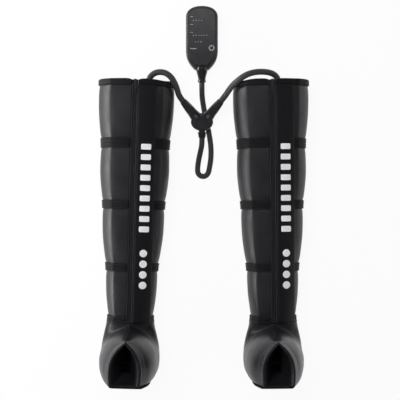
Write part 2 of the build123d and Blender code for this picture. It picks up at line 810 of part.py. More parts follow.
for piece, name in (
    (front_shell, "front_shell"), (back_shell, "back_shell"), (face_panel, "face_panel"),
    (indicator_windows, "indicator_windows"), (button_ring, "button_ring"),
    (start_button, "start_button"), (main_board, "main_board"), (battery_pack, "battery_pack"),
    (pump_body, "pump_body"), (pump_motor, "pump_motor"), (valve_manifold, "valve_manifold"),
    (solenoid_valves, "solenoid_valves"), (charge_socket, "charge_socket"),
    (case_screws, "case_screws"), (rubber_feet, "rubber_feet"), (pump_gland, "pump_gland"),
):
    save(piece.part, name)

# ================================================================ splitter
hub_origin = Vector(hub_centre[0], hub_centre[1], 0)


def arm_frame(side):
    """Start, direction and upward normal of an arm; side is 1 for right and -1 for left."""
    mirror_x = Vector(side, 1, 1)
    start = hub_origin + Vector(arm_start[0] * mirror_x.X, arm_start[1], arm_start[2])
    end = hub_origin + Vector(arm_end[0] * mirror_x.X, arm_end[1], arm_end[2])
    along = (end - start).normalized()
    across = along.cross(Vector(0, 0, 1)).normalized()
    return start, along, across.cross(along), (end - start).length


def hub_form(inset):
    """The closed hub with its two arm sockets and the gland's boss, shrunk by the inset."""
    with BuildPart() as form:
        with BuildSketch(Plane(hub_origin + Vector(0, 0, hub_low + inset))):
            Ellipse(hub_half[0] - inset, hub_half[1] - inset)
        extrude(amount=hub_height - 2 * inset)
        fillet(form.faces().filter_by(Axis.Z).edges(), 8 - inset)
        for side in (1, -1):
            start, along, up, length = arm_frame(side)
            across = up.cross(along)
            with BuildSketch(Plane(origin=start, x_dir=across, z_dir=along)):
                Ellipse(arm_root[0] - inset, arm_root[1] - inset)
            with BuildSketch(Plane(origin=start + along * (arm_socket - inset), x_dir=across, z_dir=along)):
                Circle(arm_radius - inset)
            loft()
    return form.part


with BuildPart() as hub_whole:
    add(hub_form(0))
    add(hub_form(hub_wall), mode=Mode.SUBTRACT)
    for side in (1, -1):
        start, along, up, length = arm_frame(side)
        with BuildSketch(Plane(origin=start, z_dir=along)):
            Circle(arm_bore)
        extrude(amount=arm_socket + 1, mode=Mode.SUBTRACT)
        with BuildSketch(Plane(origin=start + along * latch_place, x_dir=along, z_dir=up)):
            SlotOverall(latch_size[1] + 2 * key_gap, latch_size[0] + 2 * key_gap)
        extrude(amount=2 * arm_radius, mode=Mode.SUBTRACT)
    with BuildSketch(Plane.XZ.offset(-hub_centre[1] + hub_half[1] - 10)):
        with Locations((hub_centre[0], hub_middle)):
            Circle(hub_gland_neck)
    extrude(amount=2 * hub_half[1], mode=Mode.SUBTRACT)

with BuildPart() as hub_shell_top:
    add(hub_whole.part)
    split(bisect_by=Plane.XY.offset(hub_middle), keep=Keep.TOP)

with BuildPart() as hub_shell_bottom:
    add(hub_whole.part)
    split(bisect_by=Plane.XY.offset(hub_middle), keep=Keep.BOTTOM)

gland_face = hub_centre[1] - hub_half[1]
hub_gland_tip = main_route[-1][1]
with BuildPart() as hub_gland:
    with BuildSketch(Plane(origin=(hub_centre[0], 0, hub_middle), x_dir=(0, 1, 0), z_dir=(1, 0, 0))):
        with BuildLine():
            Polyline(
                (hub_gland_tip, 0), (gland_face + 8, 0), (gland_face + 8, hub_gland_neck - 0.1),
                (gland_face - 4, hub_gland_neck - 0.1), (gland_face - 4, hub_gland_radius),
                (hub_gland_tip, hub_gland_neck), close=True,
            )
        make_face()
    revolve(axis=Axis((hub_centre[0], 0, hub_middle), (0, 1, 0)))

for side_name, side in (("left", -1), ("right", 1)):
    start, along, up, length = arm_frame(side)
    with BuildPart() as plug:
        with BuildSketch(Plane(origin=start, x_dir=along, z_dir=up)):
            with BuildLine():
                Polyline(
                    (length, plug_neck_radius), (length, 0), (arm_socket - plug_spigot, 0),
                    (arm_socket - plug_spigot, plug_spigot_radius), (arm_socket + plug_gap, plug_spigot_radius),
                    (arm_socket + plug_gap, plug_radius),
                )
                Bezier(
                    (arm_socket + plug_gap, plug_radius),
                    (0.6 * arm_socket + 0.4 * length, plug_radius),
                    (0.2 * arm_socket + 0.8 * length, plug_neck_radius + 1), (length, plug_neck_radius),
                )
            make_face()
        revolve(axis=Axis(start, along))
    save(plug.part, f"plug_{side_name}")
    latch_top = arm_root[1] + (arm_radius - arm_root[1]) * latch_place / arm_socket + latch_proud
    with BuildPart() as latch:
        latch_foot = start + along * latch_place + up * (latch_top - latch_height)
        with BuildSketch(Plane(origin=latch_foot, x_dir=along, z_dir=up)):
            SlotOverall(latch_size[1], latch_size[0])
        extrude(amount=latch_height)
        fillet(latch.edges().filter_by(GeomType.CIRCLE).sort_by(Axis.Z)[-1:], 0.6)
    save(latch.part, f"latch_{side_name}")

for piece, name in (
    (hub_shell_top, "hub_shell_top"), (hub_shell_bottom, "hub_shell_bottom"), (hub_gland, "hub_gland"),
):
    save(piece.part, name)

# ================================================================ hoses
hose(main_route, main_hose_radius, "main_hose")
hose(left_leg_route, leg_hose_radius, "leg_hose_left")
hose(right_leg_route, leg_hose_radius, "leg_hose_right")
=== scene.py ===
from math import atan2, cos, pi, radians, sin

import bpy
import numpy as np
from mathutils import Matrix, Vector


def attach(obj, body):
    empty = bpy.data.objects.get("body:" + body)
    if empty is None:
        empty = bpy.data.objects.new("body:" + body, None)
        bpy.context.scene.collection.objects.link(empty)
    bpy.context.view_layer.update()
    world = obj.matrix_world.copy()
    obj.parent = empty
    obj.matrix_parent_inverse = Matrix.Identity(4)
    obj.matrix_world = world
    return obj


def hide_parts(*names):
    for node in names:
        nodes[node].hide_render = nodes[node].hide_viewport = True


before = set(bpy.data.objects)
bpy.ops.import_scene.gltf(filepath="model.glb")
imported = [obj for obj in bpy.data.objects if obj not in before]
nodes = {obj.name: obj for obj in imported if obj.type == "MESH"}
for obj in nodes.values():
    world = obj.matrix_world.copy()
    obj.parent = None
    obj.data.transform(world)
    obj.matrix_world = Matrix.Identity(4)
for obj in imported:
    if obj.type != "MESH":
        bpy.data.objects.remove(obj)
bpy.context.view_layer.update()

# Leg compression set lying on a pale floor: two air sleeves, a pump unit, a splitter and three hoses.
# Sizes are millimetres, turned to metres where a mesh is made.
mm = 0.001
print("frame loaded,", len(nodes), "CAD nodes")

# the sleeve's own frame: y up the leg from the sole, z out of the shin, the floor at z = 0
sleeve = {
    "places": {"left": (-239.7, -589.8, -1.66), "right": (224.0, -589.8, 0.67)},  # x, y, lean in degrees
    "heights": (3.3, 40, 85, 130, 177, 260, 343, 442, 542, 637, 735, 833, 937),
    "widths": (158, 190, 189, 172, 150, 161, 170, 193, 202, 220, 221, 238, 243),
    "length": 937.0, "rimDepth": 140.0, "ankleDepth": 112.0, "ankleHeight": 177.0,
    "belly": 0.45, "base": 0.62, "wall": 14.0,
    "crease": 4.5, "creaseAt": 0.79, "creaseWidth": 0.07, "creaseRound": 0.012,  # the front's soft edge
    "creaseFrom": (4.0, 20.0),  # how far beyond the placket that edge fades in
}
sides = ("left", "right")


def place(points, side):
    # from the sleeve's own frame to the shared one: turned by the lean, then shifted, in metres
    x0, y0, lean = sleeve["places"][side]
    c, s = cos(radians(lean)), sin(radians(lean))
    x, y, z = points[..., 0], points[..., 1], points[..., 2]
    return np.stack([x0 + x * c - y * s, y0 + x * s + y * c, z], -1) * mm


def smoothAlong(xs, ys, x):
    # a cubic on each span, whose slope at each given point is the mean of the slopes beside it
    xs, ys = np.asarray(xs, float), np.asarray(ys, float)
    slope = np.diff(ys) / np.diff(xs)
    ends = np.concatenate([slope[:1], (slope[:-1] + slope[1:]) / 2, slope[-1:]])
    x = np.clip(x, xs[0], xs[-1])
    k = np.clip(np.searchsorted(xs, x, side="right") - 1, 0, len(xs) - 2)
    span = xs[k + 1] - xs[k]
    t = (x - xs[k]) / span
    return ((1 + 2 * t) * (1 - t) ** 2 * ys[k] + t * (1 - t) ** 2 * span * ends[k]
            + t * t * (3 - 2 * t) * ys[k + 1] + t * t * (t - 1) * span * ends[k + 1])


def bezier(a, b, c, d, t):
    # the four points weighted by (1-t)^3, 3t(1-t)^2, 3t^2(1-t) and t^3
    return a * (1 - t) ** 3 + 3 * b * t * (1 - t) ** 2 + 3 * c * t * t * (1 - t) + d * t ** 3


def smoothStep(low, high, x):
    # 3t^2 - 2t^3, where t is the share of the way from low to high
    t = np.clip((x - low) / (high - low), 0, 1)
    return t * t * (3 - 2 * t)


def addPiece(name, grid, material, body="root", replaces=(), wrap="cols", capped=True,
             smooth=True):
    # one quad between each four neighbours of a grid of points in metres; rows, cols or both are wrapped,
    # which joins the last line to the first, and one face closes each open end
    rows, cols = grid.shape[:2]
    index, wide = np.arange(rows * cols).reshape(rows, cols), grid
    if wrap != "cols":
        index, wide = np.vstack([index, index[:1]]), np.concatenate([wide, wide[:1]], 0)
    if wrap != "rows":
        index, wide = np.hstack([index, index[:, :1]]), np.concatenate([wide, wide[:, :1]], 1)
    steps = [np.linalg.norm(np.diff(wide, axis=axis), axis=2).mean(1 - axis) for axis in (1, 0)]
    u, v = (np.concatenate([[0], np.cumsum(step)]) for step in steps)
    uv = np.stack(np.broadcast_arrays(u[None, :], v[:, None]), -1)

    def corners(a):
        return np.stack([a[:-1, :-1], a[:-1, 1:], a[1:, 1:], a[1:, :-1]], 2)

    quads = corners(index).reshape(-1, 4)
    ends = []
    if capped and wrap == "cols":
        ends = [index[0, :cols][::-1], index[-1, :cols]]
    elif capped and wrap == "rows":
        ends = [index[:rows, 0], index[:rows, -1][::-1]]
    fans = [np.stack([np.full(len(end) - 2, end[0]), end[1:-1], end[2:]], 1) for end in ends]
    points = grid.reshape(-1, 3)
    triangles = np.concatenate([quads[:, [0, 1, 2]], quads[:, [0, 2, 3]], *fans])
    a, b, c = (points[triangles[:, k]] for k in range(3))
    inward = np.einsum("ij,ij->i", a, np.cross(b, c)).sum() < 0  # the sign of the volume
    mesh = bpy.data.meshes.new(name)
    mesh.from_pydata(points.tolist(), [], quads.tolist() + [end.tolist() for end in ends])
    layer = mesh.uv_layers.new(name="UVMap")
    filler = np.zeros((sum(map(len, ends)), 2))
    quadUv = corners(uv).reshape(-1, 2)
    layer.data.foreach_set("uv", np.concatenate([quadUv, filler]).astype(np.float32).ravel())
    if inward and capped:
        mesh.flip_normals()
    mesh.polygons.foreach_set("use_smooth", [smooth] * len(mesh.polygons))
    mesh.update()
    return dress(bpy.data.objects.new(name, mesh), material, body, replaces)


def dress(piece, material, body="root", replaces=()):
    # the piece joins the scene with its material and body, and the CAD nodes that it stands for
    bpy.context.scene.collection.objects.link(piece)
    piece.data.materials.append(material)
    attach(piece, body)
    if replaces:
        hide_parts(*replaces)
    return piece


def scatter(name, shape, faces, centres, along, outward, material):
    # the same small shape at every centre: its x axis along the path, its z axis outward
    along = along / np.linalg.norm(along, axis=1, keepdims=True)
    outward = outward - (outward * along).sum(1, keepdims=True) * along
    outward = outward / np.linalg.norm(outward, axis=1, keepdims=True)
    across = np.cross(outward, along)
    points = (centres[:, None, :] + shape[None, :, :1] * along[:, None, :]
              + shape[None, :, 1:2] * across[:, None, :] + shape[None, :, 2:] * outward[:, None, :])
    every = (np.arange(len(centres))[:, None, None] * len(shape) + np.asarray(faces)[None]).reshape(-1, 4)
    mesh = bpy.data.meshes.new(name)
    mesh.from_pydata(points.reshape(-1, 3).tolist(), [], every.tolist())
    mesh.polygons.foreach_set("use_smooth", [True] * len(mesh.polygons))
    mesh.update()
    return dress(bpy.data.objects.new(name, mesh), material)


def capsule(length, width, height):
    # a small rod along x with rounded ends: its section shrinks as the root of 1 - s^4 towards its ends
    rings, spokes = 5, 6
    s = np.linspace(-0.98, 0.98, rings)
    angle = np.linspace(0, 2 * pi, spokes, endpoint=False)
    girth = np.sqrt(1 - s ** 4)
    x = np.repeat(s * length / 2, spokes)
    y = (girth[:, None] * np.cos(angle)).ravel() * width / 2
    z = (girth[:, None] * np.sin(angle)).ravel() * height / 2
    index = np.arange(rings * spokes).reshape(rings, spokes)
    index = np.hstack([index, index[:, :1]])
    faces = np.stack([index[:-1, :-1], index[1:, :-1], index[1:, 1:], index[:-1, 1:]], 2).reshape(-1, 4)
    ends = [[0, 1, 2, 3], [0, 3, 4, 5]]
    last = (rings - 1) * spokes
    ends += [[last + 3, last + 2, last + 1, last], [last + 5, last + 4, last + 3, last]]
    return np.stack([x, y, z], 1), np.concatenate([faces, np.array(ends)])[:, ::-1]


def linear(code):
    # sRGB hex to the linear values that the shader reads
    c = np.array([int(code[k:k + 2], 16) / 255 for k in (0, 2, 4)])
    return (*np.where(c <= 0.04045, c / 12.92, ((c + 0.055) / 1.055) ** 2.4), 1.0)


def addNode(tree, kind, settings=None, **links):
    # a node with its settings, which are input names or attributes, and its links, by the inputs' names or,
    # as _0, by their numbers
    node = tree.nodes.new("ShaderNode" + kind)
    for key, value in (settings or {}).items():
        if hasattr(node, key):
            setattr(node, key, value)
        else:
            node.inputs[key].default_value = value
    for key, source in links.items():
        socket = node.inputs[int(key[1:])] if key[1:].isdigit() else node.inputs[key.replace("_", " ")]
        tree.links.new(source, socket)
    return node


def newMaterial(name, settings):
    # a material, its tree and its shader, with the settings that are the same all over
    material = bpy.data.materials.new(name)
    material.use_nodes = True
    tree = material.node_tree
    shader = tree.nodes["Principled BSDF"]
    for key, value in settings.items():
        shader.inputs[key].default_value = value
    return material, tree, shader


def wire(tree, shader, colour, rough, bump):
    # what varies over the surface: its colour, its roughness and its fine relief
    for key, source in (("Base Color", colour), ("Roughness", rough), ("Normal", bump.outputs[0])):
        tree.links.new(source, shader.inputs[key])


def mapped(tree, size, source="UV"):
    # a coordinate in which one unit is the pattern's own size, given in millimetres
    where = addNode(tree, "TexCoord")
    scale = (1 / (size * mm),) * 3
    return addNode(tree, "Mapping", {"Scale": scale}, Vector=where.outputs[source]).outputs[0]


def varied(tree, vector, low, high, scale=1.0):
    # noise stretched from a low to a high value
    noise = addNode(tree, "TexNoise", {"Scale": scale, "Detail": 3.0}, Vector=vector)
    return addNode(tree, "MapRange", {"From Min": 0.3, "From Max": 0.7, "To Min": low,
                                      "To Max": high}, Value=noise.outputs["Fac"]).outputs[0]


def mixedColour(tree, factor, dark, light):
    # from the dark to the light colour, as the factor goes from 0 to 1
    mix = addNode(tree, "Mix", {"data_type": "RGBA"})
    for socket in mix.inputs:
        if socket.type == "RGBA" and socket.name in "AB":
            socket.default_value = linear(dark if socket.name == "A" else light)
    tree.links.new(factor, mix.inputs[0])
    return next(s for s in mix.outputs if s.type == "RGBA")


oneWave = 0.31416  # the wave texture's scale at which one band is one unit wide


def coatedNylon(name, dark, light, rough, creaseSize, specular):
    # nylon with a film coating, calendered: a satin black skin whose soft creases break up the light
    material, tree, shader = newMaterial(name, {"IOR": 1.5, "Specular IOR Level": specular})
    skin = mapped(tree, creaseSize, "Object")
    # threads 0.35 mm apart, drawn 1.4 mm apart so that they show
    yarn = mapped(tree, 1.4)
    warp, weft = (addNode(tree, "TexWave", {"Scale": oneWave, "bands_direction": way}, Vector=yarn)
                  for way in "XY")
    weave = addNode(tree, "Math", {"operation": "MULTIPLY"}, _0=warp.outputs["Fac"],
                    _1=weft.outputs["Fac"])
    fine = addNode(tree, "Bump", {"Strength": 0.12, "Distance": 0.15 * mm}, Height=weave.outputs[0])
    soft = addNode(tree, "TexNoise", {"Scale": 1.0, "Detail": 2.0}, Vector=skin)
    bump = addNode(tree, "Bump", {"Strength": 0.18, "Distance": 1.2 * mm},
                   Height=soft.outputs["Fac"], Normal=fine.outputs[0])
    wire(tree, shader, mixedColour(tree, varied(tree, skin, 0, 1, 0.6), dark, light),
         varied(tree, skin, *rough), bump)
    return material


def wovenWebbing(name, dark, light, pitch, rough):
    # polyester webbing, woven in a twill: matt, with fine diagonal ribs
    material, tree, shader = newMaterial(name, {"IOR": 1.5, "Specular IOR Level": 0.22, "Sheen Weight": 0.06,
                                                "Sheen Roughness": 0.4})
    yarn = mapped(tree, pitch)
    rib = addNode(tree, "TexWave", {"Scale": oneWave, "bands_direction": "DIAGONAL",
                                    "Distortion": 0.6, "Detail": 1.0}, Vector=yarn)
    fleck = addNode(tree, "TexNoise", {"Scale": 0.8, "Detail": 2.0}, Vector=yarn)
    bump = addNode(tree, "Bump", {"Strength": 0.5, "Distance": 0.3 * mm}, Height=rib.outputs["Fac"])
    wire(tree, shader, mixedColour(tree, fleck.outputs["Fac"], dark, light),
         varied(tree, yarn, rough - 0.06, rough + 0.06, 0.3), bump)
    return material


def moulded(name, dark, light, rough, grain, coat=0.0, metallic=0.0):
    # injection moulded or cast: an even skin with a fine eroded grain, whose gloss and tone drift slightly
    # over 26 mm
    material, tree, shader = newMaterial(name, {"IOR": 1.5, "Metallic": metallic, "Coat Weight": coat,
                                                "Coat Roughness": 0.12})
    broad = mapped(tree, 26.0, "Object")
    pits = addNode(tree, "TexNoise", {"Scale": 1.0, "Detail": 2.0},
                   Vector=mapped(tree, grain, "Object"))
    bump = addNode(tree, "Bump", {"Strength": 0.2, "Distance": 0.08 * mm},
                   Height=pits.outputs["Fac"])
    wire(tree, shader, mixedColour(tree, varied(tree, broad, 0, 1), dark, light),
         varied(tree, broad, *rough, 1.3), bump)
    return material


def hoseSleeving():
    # soft PVC hose in a braided polyester sleeve: crossed diagonal strands, matt with a soft sheen
    material, tree, shader = newMaterial("braidedHose", {"IOR": 1.5, "Sheen Weight": 0.15,
                                                         "Sheen Roughness": 0.35})
    strand = mapped(tree, 2.4)
    back = addNode(tree, "Mapping", {"Scale": (-1, 1, 1)}, Vector=strand)
    one, two = (addNode(tree, "TexWave", {"Scale": 0.22, "bands_direction": "DIAGONAL"}, Vector=way)
                for way in (strand, back.outputs[0]))
    both = addNode(tree, "Math", {"operation": "MULTIPLY"}, _0=one.outputs["Fac"],
                   _1=two.outputs["Fac"])
    bump = addNode(tree, "Bump", {"Strength": 0.5, "Distance": 0.35 * mm}, Height=both.outputs[0])
    wire(tree, shader, mixedColour(tree, both.outputs[0], "2A2A2D", "4C4C51"),
         varied(tree, strand, 0.42, 0.56, 0.1), bump)
    return material


# each line ends with what the material gives the eye
nylon = coatedNylon("coatedNylon", "151518", "1F1F23", (0.38, 0.5), 42.0, 0.5)  # broad soft highlights
footNylon = coatedNylon("glossCoatedNylon", "18181B", "222226", (0.28, 0.36), 36.0, 0.17)  # a tighter gleam
webbing = wovenWebbing("polyesterWebbing", "0A0A0B", "131315", 1.6, 0.66)  # the darkest, matt bands
plainWeave = wovenWebbing("placketPolyester", "101012", "19191C", 1.8, 0.55)  # matt behind the print
bindingCloth = wovenWebbing("bindingTape", "0C0C0E", "161618", 1.2, 0.62)  # a matt, thick-looking rim
knit = wovenWebbing("knittedLining", "1C1C1F", "2A2A2E", 2.2, 0.8)  # a dull grey inside
flapCloth = wovenWebbing("zipTape", "1B1B1E", "262629", 1.2, 0.5)  # a faint line beside the teeth
thread = moulded("bondedThread", "1D1D20", "29292C", (0.45, 0.55), 0.4)  # specks a shade above the webbing
ink = moulded("screenInk", "E6E6E8", "F2F2F3", (0.5, 0.62), 0.6)  # flat near-white marks
coil = moulded("acetalTeeth", "1A1A1C", "262629", (0.35, 0.45), 0.5)  # fine dark glints
zinc = moulded("enamelledZinc", "1A1A1C", "242427", (0.24, 0.34), 0.5, coat=0.5)  # small bright edges
soleRubber = moulded("coatedSole", "101012", "19191B", (0.5, 0.62), 1.2)  # dull black
caseAbs = moulded("satinAbs", "2B2B2E", "353538", (0.4, 0.48), 0.5)  # a satin dark grey case
glossAbs = moulded("polishedAbs", "222225", "2A2A2E", (0.17, 0.21), 0.8)  # mirrors the lights softly
lens = moulded("diffusingPolycarbonate", "8A8A8E", "9A9A9F", (0.35, 0.45), 0.6)  # unlit grey windows
gland = moulded("polishedTpe", "18181A", "232326", (0.24, 0.32), 0.8, coat=0.4)  # a wet-looking taper
hubPlastic = moulded("polishedNylon", "1D1D20", "28282B", (0.14, 0.2), 0.7, coat=0.6)  # crisp glints
# the latch buttons' paler grey is partly their own colour and partly a painted highlight, standing in for the
# glints on the splitter's arms
latchNylonWithPaintedHighlight = moulded("paleNylonPaintedHighlight", "45454A", "505055", (0.3, 0.38), 0.7, coat=0.3)  # two paler dots
inletPlastic = moulded("mouldedNylon", "1A1A1C", "242427", (0.4, 0.5), 0.6)  # plain black fittings
footRubber = moulded("siliconeRubber", "161617", "1F1F21", (0.6, 0.7), 1.0)  # no gloss
board = moulded("solderMask", "123A22", "184A2C", (0.35, 0.45), 0.8)  # green and glossy
cell = moulded("shrinkSleeve", "1B3A6B", "22467E", (0.25, 0.35), 1.0)  # a shiny blue wrap
pumpNylon = moulded("glassFilledNylon", "2C2C2F", "38383B", (0.5, 0.6), 0.5)  # greyish, slightly rough
steel = moulded("drawnSteel", "8C8C90", "A0A0A4", (0.28, 0.38), 0.4, metallic=1.0)  # a bright can
brass = moulded("turnedBrass", "A8843F", "BE9A52", (0.25, 0.35), 0.4, metallic=1.0)  # warm and bright
hoseCloth = hoseSleeving()

# the camera looks straight down from far above, through a long lens
camera = {"place": (-0.012, -0.0332, 2.96), "frameWidth": 1.28, "distance": 2.905, "sensor": 36.0}
lensObject = bpy.data.cameras.new("camera")
lensObject.sensor_width = camera["sensor"]
lensObject.lens = camera["sensor"] * camera["distance"] / camera["frameWidth"]
view = bpy.data.objects.new("camera", lensObject)
view.location = camera["place"]
bpy.context.scene.collection.objects.link(view)
bpy.context.scene.camera = view

# each hose's control points, from the pump's gland or a sleeve's inlet to the splitter
hoses = {
    "main": {
        "radius": 8.75, "length": 457.0, "node": "main_hose", "farEnd": "fitting",
        "with": ["pump_gland", "hub_gland", "hub_shell_top", "hub_shell_bottom", "latch_left", "latch_right"],
        "route": (
            (-5.9, 346.8, 27.0), (-5.9, 325.0, 27.0), (-5.2, 301.0, 18.0), (-1.0, 272.0, 9.2),
            (5.0, 241.0, 9.0), (12.0, 210.0, 9.0), (18.0, 179.0, 9.0), (22.5, 150.0, 9.0),
            (24.2, 124.0, 9.0), (23.0, 97.0, 9.0), (18.8, 71.5, 9.0), (15.3, 54.7, 9.0), (8.3, 45.7, 9.0),
            (-2.6, 42.6, 9.0), (-13.3, 46.5, 9.0), (-19.7, 55.9, 9.0), (-19.8, 73.0, 9.5),
            (-16.5, 97.0, 14.0), (-10.5, 123.0, 23.0), (-5.6, 146.0, 34.5), (-5.6, 166.8, 34.5),
        ),
    },
    "left": {
        "radius": 9.5, "length": 225.0, "node": "leg_hose_left", "farEnd": "connector",
        "with": ["plug_left"],
        "route": (
            (-175.8, 302.8, 104.0), (-175.2, 324.0, 104.0), (-173.5, 344.5, 106.0), (-163.0, 360.5, 110.0),
            (-144.0, 368.5, 115.0), (-121.5, 366.0, 119.0), (-104.0, 354.0, 117.0), (-92.0, 336.5, 108.0),
            (-84.0, 316.5, 90.0), (-78.9, 297.4, 70.0), (-65.6, 281.8, 62.0),
        ),
    },
    "right": {
        "radius": 9.5, "length": 289.0, "node": "leg_hose_right", "farEnd": "connector",
        "with": ["plug_right"],
        "route": (
            (234.55, 304.4, 104.0), (234.3, 325.5, 104.0), (234.2, 344.0, 105.0), (224.5, 359.5, 109.0),
            (206.5, 366.5, 116.0), (182.0, 368.0, 125.0), (156.0, 365.0, 133.0), (131.0, 356.5, 136.0),
            (108.5, 342.0, 126.0), (86.0, 323.5, 101.0), (68.9, 298.8, 70.7), (54.4, 281.8, 62.0),
        ),
    },
}


def routeLine(route):
    # the smooth line of a route: an open NURBS spline of order 3 with the points as its control points
    curve = bpy.data.curves.new("route", "CURVE")
    curve.dimensions = "3D"
    spline = curve.splines.new("NURBS")
    spline.points.add(len(route) - 1)
    for point, (x, y, z) in zip(spline.points, route):
        point.co = (x * mm, y * mm, z * mm, 1.0)
    spline.order_u = 3
    spline.use_endpoint_u = True
    spline.resolution_u = 10
    holder = bpy.data.objects.new("route", curve)
    bpy.context.scene.collection.objects.link(holder)
    mesh = bpy.data.meshes.new_from_object(holder.evaluated_get(bpy.context.evaluated_depsgraph_get()))
    line = np.zeros(len(mesh.vertices) * 3)
    mesh.vertices.foreach_get("co", line)
    bpy.data.objects.remove(holder)
    bpy.data.meshes.remove(mesh)
    line = line.reshape(-1, 3)
    return line[np.concatenate([[True], np.linalg.norm(np.diff(line, axis=0), axis=1) > 1e-7])]


def tubeAlong(line, radius, spokes):
    # a circle carried along the line; each circle's frame is the one before, turned onto the new direction
    way = np.gradient(line, axis=0)
    way /= np.linalg.norm(way, axis=1, keepdims=True)
    side = np.cross(way[0], (0.31, 0.17, 0.93))  # a direction that no hose starts in
    frames = [side / np.linalg.norm(side)]
    for direction in way[1:]:
        side = frames[-1] - direction * frames[-1].dot(direction)
        frames.append(side / np.linalg.norm(side))
    side = np.array(frames)
    up = np.cross(way, side)
    angle = np.linspace(0, 2 * pi, spokes, endpoint=False)[None, :, None]
    return line[:, None, :] + (np.cos(angle) * side[:, None] + np.sin(angle) * up[:, None]) * radius


for key, hose in hoses.items():
    line = routeLine(hose["route"])
    grid = tubeAlong(line, hose["radius"] * mm, 28)
    piece = addPiece(f"{key}AirHose", grid, hoseCloth, replaces=(hose["node"],))
print("hoses laid")


def bagSide(t, base, half, belly, top, low, point=0.0):
    # right half of a bag's outline from the middle of its flat base (t = 0), out along the base to
    # t = 0.15, up one cubic to the widest place (t = 0.5) and over another to the crown (t = 1)
    baseEnd, swell = 0.15, 0.6
    flat, upper = np.clip(t / baseEnd, 0, 1), np.clip(2 * t - 1, 0, 1)
    lower = np.clip((t - baseEnd) / (0.5 - baseEnd), 0, 1)
    x = np.where(t < baseEnd, base * flat, np.where(
        t < 0.5, bezier(base, base + (half - base) * swell, half, half, lower),
        bezier(half, half, half * swell * (1 - 0.5 * point), 0, upper)))
    z = np.where(t < baseEnd, low, np.where(
        t < 0.5, bezier(low, low, belly - (belly - low) * swell, belly, lower),
        bezier(belly, belly + (top - belly) * swell, top - (top - belly) * 0.2 * point, top, upper)))
    return x, z


def legDepth(y):
    # a straight line from the ankle's depth to the rim's
    share = (y - sleeve["ankleHeight"]) / (sleeve["length"] - sleeve["ankleHeight"])
    return sleeve["ankleDepth"] + (sleeve["rimDepth"] - sleeve["ankleDepth"]) * share


def halfWidth(y):
    # half of the leg's outline at the height y
    return smoothAlong(sleeve["heights"], sleeve["widths"], y) / 2


def legSurface(y, t, inset):
    # the leg at height y: t runs from -1 round the back to 1, both at the crown; inset shrinks it
    half = halfWidth(y) - inset
    depth = legDepth(y)
    x, z = bagSide(np.abs(t), half * sleeve["base"], half, depth * sleeve["belly"], depth - inset,
                   np.maximum(inset, 0.0) + 0.1)
    return np.stack(np.broadcast_arrays(np.sign(t) * x, y, z), -1)


def frontEdge(y, gap):
    # where the outline comes within the gap of the middle of the front, near the crown
    return 1 - 0.5 * gap / (1.8 * halfWidth(y))


def crease(y, t):
    # the soft lengthwise edge: a ridge that falls away exponentially on both sides; on the placket's side
    # it fades out where the placket lies
    soft = sleeve["creaseRound"]
    far = (np.sqrt((np.abs(t) - sleeve["creaseAt"]) ** 2 + soft ** 2) - soft) / sleeve["creaseWidth"]
    start, full = (placket["far"] + beyond for beyond in sleeve["creaseFrom"])
    clear = np.where(t < 0, 1.0, smoothStep(start, full, legSurface(y, t, 0.0)[..., 0]))
    return sleeve["crease"] * np.exp(-far) * clear


def legWrap(section, count, gap, relief=None):
    # a closed section of (height, inset) pairs carried round the leg from one side of the zip to the other
    y, inset = section[:, 0][:, None], section[:, 1][:, None]
    t = np.linspace(-1, 1, count)[None, :] * frontEdge(y, gap)
    if relief is not None:
        inset = inset - relief(y, t)
    points = legSurface(y, t, inset)
    points[:, 0, 0], points[:, -1, 0] = -gap, gap
    return points


def roundedBar(middle, width, outer, inner, corner, steps):
    # a rectangle with rounded corners in the plane of height and inset, as a closed list of points
    turn = np.linspace(0, pi / 2, steps)
    points = []
    for k, (sy, si) in enumerate(((1, 1), (-1, 1), (-1, -1), (1, -1))):
        cy, ci = middle + sy * (width / 2 - corner), (outer + inner) / 2 + si * ((inner - outer) / 2 - corner)
        angle = turn + k * pi / 2
        points.append(np.stack([cy + corner * np.cos(angle), ci + corner * np.sin(angle)], 1))
    return np.concatenate(points)


# the placket stands first, since the chambers are held beneath it
placket = {
    "near": 11.0, "far": 66.0, "thickness": 3.0, "low": 172.0, "high": 916.7, "gap": 0.4, "corner": 1.1,
    "rows": 160, "longest": 4.0, "wave": 0.35, "waveTurn": 23.0, "waveReach": 8.0,  # the free edge waves
}
chambers = {
    "bands": ((177.0, 23.0), (343.5, 25.0), (541.5, 27.0), (735.5, 31.0)),  # middle, width
    "names": ("shin", "calf", "knee", "thigh"), "top": 917.3, "gap": 0.5, "rows": 65, "columns": 201,
    "edge": 10.3, "pinch": 2.8, "pinchReach": 9.0, "swell": 0.9, "swellReach": 30.0,
    "seams": (12.5, 13.0), "tuck": 1.4,  # how far a band covers the low and high ends, and how deep they lie
    "wave": 0.3, "waves": (6, 90, 220), "waveReach": 25.0, "round": 330.0, "lengthwise": 0.35,
    "floor": 0.2, "zip": 0.985, "seam": 1.5, "front": 0.6, "beyond": 3.0,  # the limits of what is held
    "backRows": 14,
}
cloth = {
    "frames": 20, "pressure": 3.5, "cap": 2.5, "chamberIn": 1.3, "footIn": 2.2, "step": 2,
    "quality": 4, "mass": 0.3, "stretch": 12.0, "shear": 4.0, "bending": 1.5,
}


def ripple(a, b, seed, count, low, high):
    # a sum of sine waves of seeded direction, phase and wavelength, about one unit high
    draw = np.random.default_rng(seed)
    total = 0.0
    for _ in range(count):
        angle, phase, size = draw.uniform(0, pi), draw.uniform(0, 2 * pi), draw.uniform(low, high)
        total = total + np.sin(2 * pi * (a * cos(angle) + b * sin(angle)) / size + phase)
    return total / np.sqrt(count)


def spread(part, count):
    # a coarse grid's rows spread over the full grid's rows, on straight lines between them
    at = np.minimum(np.arange(count) / cloth["step"], len(part) - 1)
    low = at.astype(int)
    share = (at - low)[:, None, None]
    return part[low] * (1 - share) + part[np.minimum(low + 1, len(part) - 1)] * share


